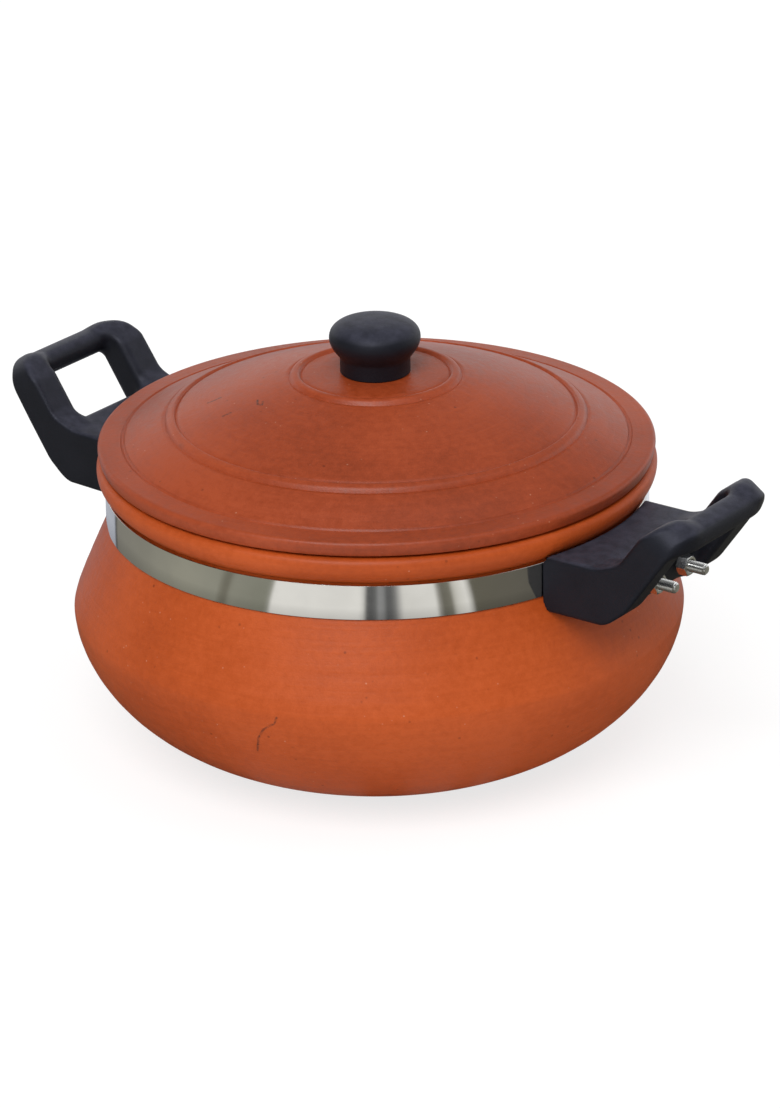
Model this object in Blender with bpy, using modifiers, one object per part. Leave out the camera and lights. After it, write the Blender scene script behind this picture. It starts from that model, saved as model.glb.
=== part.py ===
"""Clay handi: a terracotta cooking pot with a lid, a steel neck band and two bakelite handles.

Metres, +Z up. The origin is the centre of the pot's foot, on the floor, and the handles lie along X.
"""
from math import cos, hypot, pi, radians, sin, sqrt, tan

import bmesh
import bpy
from mathutils import Matrix, Vector

# Fits
CLEARANCE = 0.0003          # free gap between two pieces that seat on each other
CUTTER_SPARE = 0.010        # how far a cutter runs past what it cuts

# Pot: the belly is two curves that meet at its widest ring
FOOT_RADIUS = 0.0570
BELLY_RADIUS = 0.1305
BELLY_HEIGHT = 0.06365
LOWER_SPREAD = 0.0552       # pull of the lower curve, measured along the foot's rise
LOWER_RISE = radians(9.35)  # slope of the belly where it leaves the foot
LOWER_FULLNESS = 0.01765    # pull of the lower curve straight down from the widest ring
UPPER_FULLNESS = 0.00247    # pull of the upper curve straight up from the widest ring
SHOULDER_PULL = 0.0040      # pull of the upper curve at the band
SHOULDER_SLOPE = radians(27.0)
POT_WALL = 0.0080
POT_FLOOR = 0.0090

# Neck and rim
NECK_HEIGHT = 0.1019        # height of the band's lower edge
SEAT_RADIUS = 0.1146        # the two lands that the band grips
SEAT_LAND = 0.0020
LAND_MARGIN = 0.0004        # how far each land shows past the band's edge
GROOVE_SLOPE = 0.0006       # height over which the groove falls away from its land
HEAD_ROOM = 0.0009          # free depth behind the bolt heads, in the groove under the band
HEAD_SIDE_ROOM = 0.0005     # free space under the bolt heads, in the groove
RIM_HEIGHT = 0.0126         # rim's top above the band
RIM_BULGE = 0.0041          # rim's lip beyond the lands
RIM_ROUND = 0.0040
RIM_WALL = 0.0071           # thickness of the mouth inside the lands
MOUTH_ROUND = 0.0025

# Steel band, in two halves that meet behind the handles
BAND_HEIGHT = 0.0150
BAND_THICKNESS = 0.0006
BAND_GAP = 0.0040

# Lid, measured up from the rim's top
LID_INSET = 0.0007          # lid's edge inside the rim's lip
LID_DRAFT = 0.0012          # how far the edge leans in towards its underside
BRIM_HEIGHT = 0.0081
BRIM_FALL = 0.0007
BRIM_ROUND = 0.0022
BRIM_WIDTH = 0.0107
LID_GROOVE_WIDTH = 0.0020
LID_GROOVE_DEPTH = 0.0006
LID_RISE = 0.0360           # knob's seat
LID_SEAT_RADIUS = 0.0180
CROWN_HEIGHT = 0.0355       # dome's height at the inner ring, which the nearly flat middle lies in
CROWN_SLOPE = 0.247
DOME_EDGE_SLOPE = 0.530
LID_THICKNESS = 0.0068
RIDGE_HEIGHT = 0.0008
INNER_RIDGE_RADIUS = 0.0340
OUTER_RIDGE_RADIUS = 0.0870
RIDGE_WIDTH = 0.0047
RING_DEPTH = 0.0070         # locating ring under the lid
RING_THICKNESS = 0.0055
RING_PLAY = 0.0015

# Knob and what holds it
KNOB_STEM_RADIUS = 0.0149
KNOB_STEM_HEIGHT = 0.0068
KNOB_HEAD_RADIUS = 0.0193
KNOB_HEAD_HEIGHT = 0.0155   # height of the head's widest ring
KNOB_HEIGHT = 0.0234
KNOB_TOP_RADIUS = 0.0060    # nearly flat middle of the top
KNOB_TOP_FALL = 0.0003
KNOB_TOP_PULL = 0.0090      # pull of the top curve outwards
KNOB_BROW_PULL = 0.0046     # pull of the top curve straight up from the widest ring
KNOB_UNDER_PULL = 0.0038    # pull of the lower curve straight down from the widest ring
KNOB_WAIST_PULL = 0.0018    # pull of the lower curve at the stem
KNOB_WAIST_SLOPE = radians(68.0)
SCREW_RADIUS = 0.0025
SCREW_GRIP = 0.0080         # length of screw inside the insert
SCREW_HEAD_RADIUS = 0.0048
SCREW_HEAD_HEIGHT = 0.0028
INSERT_RADIUS = 0.0045
INSERT_LENGTH = 0.0110
WASHER_RADIUS = 0.0080
WASHER_THICKNESS = 0.0010

# Handle: X runs out from the pot's axis, Y across, Z up. A plate holds the band, and a loop of two
# sloping arms and a level grip stands out and up from it
PLATE_DROP = 0.0066         # plate's underside below the band
PLATE_THICKNESS = 0.0250
PLATE_DEPTH = 0.0302        # band's face to the flat wall that the nuts sit on
HANDLE_HALF_WIDTH = 0.0369
HEEL_SETBACK = 0.0021       # lower edge of the plate, in from the nut wall
ARM_SLOPE = radians(54.5)
ARM_THICKNESS = 0.0148      # square to the slope
ARM_WIDTH = 0.0157
LOOP_LENGTH = 0.0556        # from the heel to the loop's end, along the slope
FINGER_GAP = 0.0181         # nut wall to the grip
GRIP_WIDTH = 0.0132
GRIP_HEIGHT = 0.0104
GRIP_RISE = 0.0220          # grip's top above the plate's
HEEL_ROUND = 0.0100
RAMP_ROUND = 0.0085         # hollow where the arms rise from the plate
CREST_ROUND = 0.0055        # where the arms reach the grip's top
BROW_ROUND = 0.0028         # grip's outer upper edge
GRIP_ROUND = 0.0045         # grip's other long edges
HOOK_ROUND = 0.0030         # hollow under the grip's ends
WALL_ROUND = 0.0058         # top of the nut wall, between the arms
LOOP_CORNER_ROUND = 0.0140  # loop's outer corners, in the plane of the slope
END_CORNER_ROUND = 0.0165   # grip's outer corners, seen from above
HANDLE_EDGE_ROUND = 0.0017

# Bolts and nuts
BOLT_RADIUS = 0.0025
BOLT_HALF_SPACING = 0.0113
BOLT_DROP = 0.0012          # bolts below the band's middle
BOLT_REACH = 0.0129         # threaded end beyond the nut wall
BOLT_HEAD_RADIUS = 0.00425
BOLT_HEAD_HEIGHT = 0.0022
BOLT_TIP = 0.0006
NUT_FLATS = 0.0080
NUT_HEIGHT = 0.0047

# Mesh fineness
ROUND_STEPS = 60
SMALL_STEPS = 16
KNOB_STEPS = 32
FILLET_STEPS = 4

# Sizes that follow from the ones above
BAND_TOP = NECK_HEIGHT + BAND_HEIGHT
RIM_TOP = BAND_TOP + RIM_HEIGHT
RIM_RADIUS = SEAT_RADIUS + RIM_BULGE
MOUTH_RADIUS = SEAT_RADIUS - RIM_WALL
BAND_INNER = SEAT_RADIUS + CLEARANCE
BAND_OUTER = BAND_INNER + BAND_THICKNESS
FACET = cos(pi / ROUND_STEPS)  # middle of a facet against its corner
WALL_X = BAND_OUTER + PLATE_DEPTH
HEEL_X = WALL_X - HEEL_SETBACK
GRIP_INNER_X = WALL_X + FINGER_GAP
GRIP_OUTER_X = GRIP_INNER_X + GRIP_WIDTH
PLATE_BOTTOM = NECK_HEIGHT - PLATE_DROP
PLATE_TOP = PLATE_BOTTOM + PLATE_THICKNESS
GRIP_TOP = PLATE_TOP + GRIP_RISE
GRIP_BOTTOM = GRIP_TOP - GRIP_HEIGHT
BOLT_HEIGHT = NECK_HEIGHT + BAND_HEIGHT / 2 - BOLT_DROP
HEAD_FACE_X = sqrt((BAND_INNER * FACET) ** 2 - (BOLT_HALF_SPACING + BOLT_HEAD_RADIUS) ** 2) - CLEARANCE
HEAD_BACK_X = HEAD_FACE_X - BOLT_HEAD_HEIGHT
GROOVE_RADIUS = hypot(HEAD_BACK_X - HEAD_ROOM, BOLT_HALF_SPACING - BOLT_HEAD_RADIUS)
NECK_INNER = GROOVE_RADIUS - POT_WALL
LID_RADIUS = RIM_RADIUS - LID_INSET
LID_GROOVE_RADIUS = LID_RADIUS - BRIM_WIDTH
RING_OUTER = MOUTH_RADIUS - RING_PLAY
RING_INNER = RING_OUTER - RING_THICKNESS


def clear_scene():
    """Remove every object of the open scene."""
    for obj in list(bpy.data.objects):
        bpy.data.objects.remove(obj, do_unlink=True)


def new_collection(name):
    group = bpy.data.collections.new(name)
    bpy.context.scene.collection.children.link(group)
    return group


def new_material(name, colour, roughness, metallic=0.0):
    finish = bpy.data.materials.new(name)
    finish.use_nodes = True
    shader = finish.node_tree.nodes["Principled BSDF"]
    shader.inputs["Base Color"].default_value = (*colour, 1.0)
    shader.inputs["Roughness"].default_value = roughness
    shader.inputs["Metallic"].default_value = metallic
    return finish


def curve_points(a, b, c, d, steps):
    """Points of the cubic curve from a to d, both ends included."""
    points = []
    for i in range(steps + 1):
        t = i / steps
        s = 1.0 - t
        weights = (s ** 3, 3 * s * s * t, 3 * s * t * t, t ** 3)
        points.append(tuple(sum(w * p[k] for w, p in zip(weights, (a, b, c, d))) for k in (0, 1)))
    return points


def corner_points(a, corner, b, steps):
    """Points that round a corner from a to b, both ends included."""
    points = []
    for i in range(steps + 1):
        t = i / steps
        s = 1.0 - t
        points.append(tuple(s * s * a[k] + 2 * s * t * corner[k] + t * t * b[k] for k in (0, 1)))
    return points


def inset(points, distance):
    """Middle points of a line, moved square to it, to the right of its direction."""
    moved = []
    for before, here, after in zip(points[:-2], points[1:-1], points[2:]):
        run = after[0] - before[0]
        rise = after[1] - before[1]
        length = hypot(run, rise)
        moved.append((here[0] + distance * rise / length, here[1] - distance * run / length))
    return moved


def filleted(corners):
    """Closed outline through (x, y, radius) corners, each turned by an arc of its radius."""
    outline = []
    for i, (x, y, radius) in enumerate(corners):
        here = Vector((x, y))
        back = (Vector(corners[i - 1][:2]) - here).normalized()
        ahead = (Vector(corners[(i + 1) % len(corners)][:2]) - here).normalized()
        if radius == 0.0:
            outline.append((x, y))
            continue
        half = back.angle(ahead) / 2
        start = here + back * radius / tan(half)
        end = here + ahead * radius / tan(half)
        centre = here + (back + ahead).normalized() * radius / sin(half)
        sweep = (start - centre).angle_signed(end - centre)
        for k in range(FILLET_STEPS + 1):
            spoke = Matrix.Rotation(-sweep * k / FILLET_STEPS, 2) @ (start - centre)
            outline.append(tuple(centre + spoke))
    return outline


def turned(name, group, profile, steps, closed=False):
    """Solid of revolution about its own Z, from a profile whose outer side runs downwards."""
    count = len(profile)
    edges = [(i, i + 1) for i in range(count - 1)]
    if closed:
        edges.append((count - 1, 0))
    mesh = bpy.data.meshes.new(name)
    mesh.from_pydata([(radius, 0.0, height) for radius, height in profile], edges, [])
    obj = bpy.data.objects.new(name, mesh)
    group.objects.link(obj)
    screw = obj.modifiers.new("turn", "SCREW")
    screw.angle = 2 * pi
    screw.steps = steps
    screw.render_steps = steps
    screw.use_merge_vertices = True
    screw.merge_threshold = 0.00001
    screw.use_smooth_shade = True
    return obj


def extruded(name, group, outline, depth):
    """Flat outline in its own XY plane, extruded by depth about that plane, as a welded mesh."""
    curve = bpy.data.curves.new(name, "CURVE")
    curve.dimensions = "2D"
    curve.fill_mode = "BOTH"
    curve.extrude = depth / 2
    line = curve.splines.new("POLY")
    line.points.add(len(outline) - 1)
    for point, (x, y) in zip(line.points, outline):
        point.co = (x, y, 0.0, 1.0)
    line.use_cyclic_u = True
    guide = bpy.data.objects.new(name + "_outline", curve)
    group.objects.link(guide)
    bpy.context.view_layer.update()
    depsgraph = bpy.context.evaluated_depsgraph_get()
    mesh = bpy.data.meshes.new_from_object(guide.evaluated_get(depsgraph))
    weld(mesh)
    obj = bpy.data.objects.new(name, mesh)
    obj.matrix_world = guide.matrix_world
    group.objects.link(obj)
    bpy.data.objects.remove(guide, do_unlink=True)
    return obj


def weld(mesh):
    """Join the loose caps of a mesh to its sides, and make each cap one face."""
    work = bmesh.new()
    work.from_mesh(mesh)
    bmesh.ops.remove_doubles(work, verts=work.verts, dist=0.00001)
    bmesh.ops.dissolve_limit(work, angle_limit=radians(0.5), verts=work.verts, edges=work.edges)
    bmesh.ops.recalc_face_normals(work, faces=work.faces)
    work.to_mesh(mesh)
    work.free()


def rod(name, group, radius, length, sides):
    """Straight prism along X, centred on its own origin."""
    mesh = bpy.data.meshes.new(name)
    work = bmesh.new()
    bmesh.ops.create_cone(
        work, cap_ends=True, segments=sides, radius1=radius, radius2=radius, depth=length,
        matrix=Matrix.Rotation(pi / 2, 4, "Y"),
    )
    work.to_mesh(mesh)
    work.free()
    obj = bpy.data.objects.new(name, mesh)
    group.objects.link(obj)
    return obj


def block(name, group, low, high):
    """Box between two corners."""
    mesh = bpy.data.meshes.new(name)
    size = [b - a for a, b in zip(low, high)]
    middle = [(a + b) / 2 for a, b in zip(low, high)]
    work = bmesh.new()
    bmesh.ops.create_cube(work, matrix=Matrix.Translation(middle) @ Matrix.Diagonal((*size, 1.0)))
    work.to_mesh(mesh)
    work.free()
    obj = bpy.data.objects.new(name, mesh)
    group.objects.link(obj)
    return obj


def as_cutter(obj):
    obj.hide_render = True
    obj.display_type = "WIRE"
    return obj


def combine(obj, tool, operation="DIFFERENCE"):
    step = obj.modifiers.new(tool.name, "BOOLEAN")
    step.operation = operation
    step.solver = "EXACT"
    step.object = tool


def settle(obj):
    """Apply the modifiers and shade the result smooth, with its real edges kept sharp."""
    bpy.context.view_layer.update()
    depsgraph = bpy.context.evaluated_depsgraph_get()
    mesh = bpy.data.meshes.new_from_object(obj.evaluated_get(depsgraph))
    mesh.name = obj.name
    obj.modifiers.clear()
    obj.data = mesh
    mesh.shade_smooth()
    mesh.set_sharp_from_angle(angle=radians(35.0))


def paint(obj, finish):
    obj.data.materials.clear()
    obj.data.materials.append(finish)


def belly_side():
    """Outer side of the belly, from the band's lower land to the foot."""
    shoulder = (SEAT_RADIUS, NECK_HEIGHT - LAND_MARGIN)
    pull = (
        shoulder[0] + SHOULDER_PULL * sin(SHOULDER_SLOPE),
        shoulder[1] - SHOULDER_PULL * cos(SHOULDER_SLOPE),
    )
    widest = (BELLY_RADIUS, BELLY_HEIGHT)
    foot = (FOOT_RADIUS, 0.0)
    rise = (foot[0] + LOWER_SPREAD * cos(LOWER_RISE), foot[1] + LOWER_SPREAD * sin(LOWER_RISE))
    upper = curve_points(shoulder, pull, (BELLY_RADIUS, BELLY_HEIGHT + UPPER_FULLNESS), widest, 7)
    lower = curve_points(widest, (BELLY_RADIUS, BELLY_HEIGHT - LOWER_FULLNESS), rise, foot, 8)
    return upper + lower[1:]


def neck_side():
    """Outer side of the rim and neck, from the rim's top to the band's lower land."""
    top_land = BAND_TOP + LAND_MARGIN
    lip = corner_points(
        (RIM_RADIUS - RIM_ROUND, RIM_TOP), (RIM_RADIUS, RIM_TOP), (RIM_RADIUS, RIM_TOP - RIM_ROUND), 4
    )
    under_lip = corner_points(
        (RIM_RADIUS, RIM_TOP - RIM_ROUND),
        (RIM_RADIUS, (RIM_TOP - RIM_ROUND + top_land) / 2),
        (SEAT_RADIUS, top_land),
        4,
    )
    groove_top = top_land - SEAT_LAND
    groove_bottom = BOLT_HEIGHT - BOLT_HEAD_RADIUS - HEAD_SIDE_ROOM
    groove = [
        (SEAT_RADIUS, groove_top),
        (GROOVE_RADIUS, groove_top - GROOVE_SLOPE),
        (GROOVE_RADIUS, groove_bottom),
        (SEAT_RADIUS, groove_bottom - GROOVE_SLOPE),
    ]
    return lip + under_lip[1:] + groove


def inner_side():
    """Inside of the pot, from the axis at its floor up to the rim's top."""
    wall = [point for point in inset(belly_side(), POT_WALL) if point[1] > POT_FLOOR + POT_WALL / 4]
    wall.reverse()
    mouth_base = RIM_TOP - RING_DEPTH - RING_PLAY
    neck = [(NECK_INNER, NECK_HEIGHT), (NECK_INNER, BAND_TOP - SEAT_LAND), (MOUTH_RADIUS, mouth_base)]
    wall = [point for point in wall if point[1] < NECK_HEIGHT]
    mouth = corner_points(
        (MOUTH_RADIUS, RIM_TOP - MOUTH_ROUND),
        (MOUTH_RADIUS, RIM_TOP),
        (MOUTH_RADIUS + MOUTH_ROUND, RIM_TOP),
        3,
    )
    return [(0.0, POT_FLOOR), (FOOT_RADIUS, POT_FLOOR)] + wall + neck + mouth


def make_pot(parts, clay):
    profile = inner_side() + neck_side() + belly_side() + [(0.0, 0.0)]
    pot = turned("pot_body", parts, profile, ROUND_STEPS)
    settle(pot)
    paint(pot, clay)
    return pot


def dome_height(radius):
    """Height of the lid's top at a radius, without its rings."""
    if radius < INNER_RIDGE_RADIUS:
        t = min((INNER_RIDGE_RADIUS - radius) / (INNER_RIDGE_RADIUS - LID_SEAT_RADIUS), 1.0)
        return CROWN_HEIGHT + (LID_RISE - CROWN_HEIGHT) * t * (2 - t)
    span = LID_GROOVE_RADIUS - INNER_RIDGE_RADIUS
    t = (radius - INNER_RIDGE_RADIUS) / span
    start = (2 * t ** 3 - 3 * t * t + 1) * CROWN_HEIGHT
    start_slope = (t ** 3 - 2 * t * t + t) * span * -CROWN_SLOPE
    end = (3 * t * t - 2 * t ** 3) * BRIM_HEIGHT
    end_slope = (t ** 3 - t * t) * span * -DOME_EDGE_SLOPE
    return start + start_slope + end + end_slope


def dome_run(start, end, steps):
    """Points of the dome between two radii, without the two ends."""
    radii = [start + (end - start) * i / steps for i in range(1, steps)]
    return [(radius, dome_height(radius)) for radius in radii]


def ridge(radius):
    """Points over one raised ring of the lid."""
    half = RIDGE_WIDTH / 2
    lifts = ((-half, 0.0), (-half / 2, RIDGE_HEIGHT), (half / 2, RIDGE_HEIGHT), (half, 0.0))
    return [(radius + step, dome_height(radius + step) + lift) for step, lift in lifts]


def lid_profile():
    """Closed outline of the lid, from the screw hole out over the top and back underneath."""
    hole = SCREW_RADIUS + CLEARANCE
    inner = ridge(INNER_RIDGE_RADIUS)
    outer = ridge(OUTER_RIDGE_RADIUS)
    groove_start = LID_GROOVE_RADIUS - LID_GROOVE_WIDTH / 2
    top = [(hole, LID_RISE), (LID_SEAT_RADIUS, LID_RISE)]
    top += dome_run(LID_SEAT_RADIUS, inner[0][0], 2) + inner
    top += dome_run(inner[-1][0], outer[0][0], 5) + outer
    top += dome_run(outer[-1][0], groove_start, 2)
    top += [
        (groove_start, dome_height(groove_start)),
        (LID_GROOVE_RADIUS, BRIM_HEIGHT - LID_GROOVE_DEPTH),
        (LID_GROOVE_RADIUS + LID_GROOVE_WIDTH / 2, BRIM_HEIGHT),
    ]
    edge = corner_points(
        (LID_RADIUS - BRIM_ROUND, BRIM_HEIGHT - BRIM_FALL),
        (LID_RADIUS, BRIM_HEIGHT - BRIM_FALL),
        (LID_RADIUS, BRIM_HEIGHT - BRIM_FALL - BRIM_ROUND),
        3,
    )
    under = [
        (LID_RADIUS - LID_DRAFT, CLEARANCE),
        (RING_OUTER, CLEARANCE),
        (RING_OUTER, -RING_DEPTH),
        (RING_INNER, -RING_DEPTH),
        (RING_INNER, dome_height(RING_INNER) - LID_THICKNESS),
    ]
    inside = [(r, z - LID_THICKNESS) for r, z in dome_run(RING_INNER, LID_SEAT_RADIUS, 6)]
    centre = [(LID_SEAT_RADIUS, LID_RISE - LID_THICKNESS), (hole, LID_RISE - LID_THICKNESS)]
    return top + edge + under + inside + centre


def knob_profile():
    """Closed outline of the knob, from its top around to the pocket for the insert."""
    pocket = INSERT_RADIUS + CLEARANCE
    pocket_top = INSERT_LENGTH + CLEARANCE
    widest = (KNOB_HEAD_RADIUS, KNOB_HEAD_HEIGHT)
    top_edge = (KNOB_TOP_RADIUS, KNOB_HEIGHT - KNOB_TOP_FALL)
    head = curve_points(
        top_edge,
        (KNOB_TOP_RADIUS + KNOB_TOP_PULL, top_edge[1] - KNOB_TOP_FALL),
        (KNOB_HEAD_RADIUS, KNOB_HEAD_HEIGHT + KNOB_BROW_PULL),
        widest,
        6,
    )
    waist = (
        KNOB_STEM_RADIUS + KNOB_WAIST_PULL * cos(KNOB_WAIST_SLOPE),
        KNOB_STEM_HEIGHT + KNOB_WAIST_PULL * sin(KNOB_WAIST_SLOPE),
    )
    under = curve_points(
        widest,
        (KNOB_HEAD_RADIUS, KNOB_HEAD_HEIGHT - KNOB_UNDER_PULL),
        waist,
        (KNOB_STEM_RADIUS, KNOB_STEM_HEIGHT),
        5,
    )
    return [
        (0.0, KNOB_HEIGHT),
        *head,
        *under[1:],
        (KNOB_STEM_RADIUS, 0.0),
        (pocket, 0.0),
        (pocket, pocket_top),
        (0.0, pocket_top),
    ]


def insert_profile():
    bore = SCREW_RADIUS + CLEARANCE
    return [(bore, INSERT_LENGTH), (INSERT_RADIUS, INSERT_LENGTH), (INSERT_RADIUS, 0.0), (bore, 0.0)]


def washer_profile(bore, radius, thickness):
    return [(bore, thickness), (radius, thickness), (radius, 0.0), (bore, 0.0)]


def screw_profile(radius, head_radius, head_height, tip, length):
    """Round-headed screw: head at the bottom, tip at the top, head's bearing face at z = 0."""
    round_side = corner_points((head_radius, 0.0), (head_radius, -head_height), (0.0, -head_height), 3)
    return [(0.0, length), (radius - tip, length), (radius, length - tip), (radius, 0.0)] + round_side


def make_lid(parts, lift, finishes):
    """The lid and what it carries, all on the lift's axis."""
    lid = turned("lid", parts, lid_profile(), ROUND_STEPS, closed=True)
    seat = LID_RISE + CLEARANCE
    knob = turned("knob", parts, knob_profile(), KNOB_STEPS)
    insert = turned("knob_insert", parts, insert_profile(), SMALL_STEPS, closed=True)
    bore = SCREW_RADIUS + CLEARANCE
    washer = turned(
        "knob_washer", parts, washer_profile(bore, WASHER_RADIUS, WASHER_THICKNESS), SMALL_STEPS, closed=True
    )
    washer_base = LID_RISE - LID_THICKNESS - CLEARANCE - WASHER_THICKNESS
    screw_base = washer_base - CLEARANCE
    screw = turned(
        "knob_screw",
        parts,
        screw_profile(
            SCREW_RADIUS, SCREW_HEAD_RADIUS, SCREW_HEAD_HEIGHT, BOLT_TIP, seat + SCREW_GRIP - screw_base
        ),
        SMALL_STEPS,
    )
    heights = ((lid, 0.0), (knob, seat), (insert, seat), (washer, washer_base), (screw, screw_base))
    names = ("lid_clay", "bakelite", "brass", "zinc_steel", "zinc_steel")
    for (obj, height), name in zip(heights, names):
        settle(obj)
        paint(obj, finishes[name])
        obj.parent = lift
        obj.location = (0.0, 0.0, height)


def make_bands(parts, cutters, steel):
    """Two half hoops with a bolt hole near each end."""
    reach = 2 * BAND_OUTER
    profile = [
        (BAND_INNER, BAND_TOP),
        (BAND_OUTER, BAND_TOP),
        (BAND_OUTER, NECK_HEIGHT),
        (BAND_INNER, NECK_HEIGHT),
    ]
    for name, side in (("band_front", -1), ("band_back", 1)):
        band = turned(name, parts, profile, ROUND_STEPS, closed=True)
        y_low = min(side * BAND_GAP / 2, side * reach)
        y_high = max(side * BAND_GAP / 2, side * reach)
        half = as_cutter(block(name + "_half", cutters, (-reach, y_low, 0.0), (reach, y_high, 2 * BAND_TOP)))
        hole = as_cutter(rod(name + "_hole", cutters, BOLT_RADIUS + CLEARANCE, 2 * reach, SMALL_STEPS))
        hole.location = (0.0, side * BOLT_HALF_SPACING, BOLT_HEIGHT)
        combine(band, half, "INTERSECT")
        combine(band, hole)
        settle(band)
        paint(band, steel)


def arm_x(height, across):
    """X of the arms' sloping side at a height, across being its distance square to the lower side."""
    return HEEL_X + (height - PLATE_BOTTOM) / tan(ARM_SLOPE) - across / sin(ARM_SLOPE)


def handle_side_outline():
    """Side view of the handle in X and Z, with its inner end left inside the neck."""
    root = BAND_OUTER - PLATE_DROP
    return filleted(
        [
            (root, PLATE_BOTTOM, 0.0),
            (HEEL_X, PLATE_BOTTOM, HEEL_ROUND),
            (arm_x(GRIP_BOTTOM, 0.0), GRIP_BOTTOM, HOOK_ROUND),
            (GRIP_OUTER_X, GRIP_BOTTOM, GRIP_ROUND),
            (GRIP_OUTER_X, GRIP_TOP, BROW_ROUND),
            (arm_x(GRIP_TOP, ARM_THICKNESS), GRIP_TOP, CREST_ROUND),
            (arm_x(PLATE_TOP, ARM_THICKNESS), PLATE_TOP, RAMP_ROUND),
            (root, PLATE_TOP, 0.0),
        ]
    )


def neck_cutter(cutters):
    """The pot's neck and band, grown by the fit, which shape the handle's inner face."""
    band = [(BAND_OUTER + CLEARANCE, BAND_TOP), (BAND_OUTER + CLEARANCE, NECK_HEIGHT)]
    rim = [(r + CLEARANCE, z) for r, z in neck_side() if z > BAND_TOP + LAND_MARGIN]
    under = PLATE_BOTTOM - CUTTER_SPARE
    belly = [(max(r, BAND_OUTER) + CLEARANCE, z) for r, z in belly_side() if z > under]
    over = max(GRIP_TOP, RIM_TOP) + CUTTER_SPARE
    profile = [(0.0, over), (rim[0][0], over)] + rim + band + belly + [(0.0, belly[-1][1])]
    return as_cutter(turned("neck_cutter", cutters, profile, ROUND_STEPS))


def opening_cutter(cutters):
    """All that is free between the arms: above the plate, before the nut wall, and round the grip."""
    start = arm_x(PLATE_TOP, ARM_THICKNESS) - RAMP_ROUND * tan(ARM_SLOPE / 2)
    under = PLATE_BOTTOM - CUTTER_SPARE
    over = GRIP_TOP + CUTTER_SPARE
    beyond = GRIP_OUTER_X + CUTTER_SPARE
    outline = filleted(
        [
            (start, over, 0.0),
            (start, PLATE_TOP, 0.0),
            (WALL_X, PLATE_TOP, WALL_ROUND),
            (WALL_X, under, 0.0),
            (beyond, under, 0.0),
            (beyond, GRIP_BOTTOM, 0.0),
            (GRIP_INNER_X, GRIP_BOTTOM, GRIP_ROUND),
            (GRIP_INNER_X, GRIP_TOP, GRIP_ROUND),
            (GRIP_INNER_X + GRIP_ROUND, GRIP_TOP, 0.0),
            (GRIP_INNER_X + GRIP_ROUND, over, 0.0),
        ]
    )
    opening = extruded("opening_cutter", cutters, outline, 2 * (HANDLE_HALF_WIDTH - ARM_WIDTH))
    opening.rotation_euler = (pi / 2, 0.0, 0.0)
    return as_cutter(opening)


def corner_cutter(name, cutters, end, radius):
    """What stays of the handle in plan: its full width, with the two outer corners rounded."""
    width = HANDLE_HALF_WIDTH
    outline = filleted(
        [
            (end - 2 * GRIP_OUTER_X, -width - CLEARANCE, 0.0),
            (end, -width, radius),
            (end, width, radius),
            (end - 2 * GRIP_OUTER_X, width + CLEARANCE, 0.0),
        ]
    )
    return as_cutter(extruded(name, cutters, outline, 4 * GRIP_TOP))


def make_handle_mesh(parts, cutters, bakelite):
    """Handle on the +X side, in the pot's own frame."""
    handle = extruded("handle_right", parts, handle_side_outline(), 2 * HANDLE_HALF_WIDTH)
    handle.rotation_euler = (pi / 2, 0.0, 0.0)
    rounding = handle.modifiers.new("edge_round", "BEVEL")
    rounding.width = HANDLE_EDGE_ROUND
    rounding.segments = 2
    rounding.limit_method = "ANGLE"
    rounding.angle_limit = radians(60.0)
    rounding.use_clamp_overlap = False
    loop = corner_cutter("loop_corners", cutters, LOOP_LENGTH, LOOP_CORNER_ROUND)
    loop.rotation_euler = (0.0, -ARM_SLOPE, 0.0)
    loop.location = (HEEL_X, 0.0, PLATE_BOTTOM)
    combine(handle, loop, "INTERSECT")
    combine(handle, corner_cutter("grip_corners", cutters, GRIP_OUTER_X, END_CORNER_ROUND), "INTERSECT")
    combine(handle, opening_cutter(cutters))
    combine(handle, neck_cutter(cutters))
    for side in (-1, 1):
        bore = as_cutter(rod("bolt_bore", cutters, BOLT_RADIUS + CLEARANCE, 2 * GRIP_OUTER_X, SMALL_STEPS))
        bore.location = (GRIP_OUTER_X, side * BOLT_HALF_SPACING, BOLT_HEIGHT)
        combine(handle, bore)
    settle(handle)
    paint(handle, bakelite)
    return handle


def make_nut_mesh(parts, cutters, zinc):
    nut = rod("nut_right_front", parts, NUT_FLATS / 2 / cos(pi / 6), NUT_HEIGHT, 6)
    thread = as_cutter(rod("nut_bore", cutters, BOLT_RADIUS + CLEARANCE, 4 * NUT_HEIGHT, SMALL_STEPS))
    combine(nut, thread)
    settle(nut)
    paint(nut, zinc)
    return nut


def make_bolt_mesh(parts, zinc):
    length = WALL_X + BOLT_REACH - HEAD_FACE_X
    profile = screw_profile(BOLT_RADIUS, BOLT_HEAD_RADIUS, BOLT_HEAD_HEIGHT, BOLT_TIP, length)
    bolt = turned("bolt_right_front", parts, profile, SMALL_STEPS)
    settle(bolt)
    paint(bolt, zinc)
    return bolt


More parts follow.
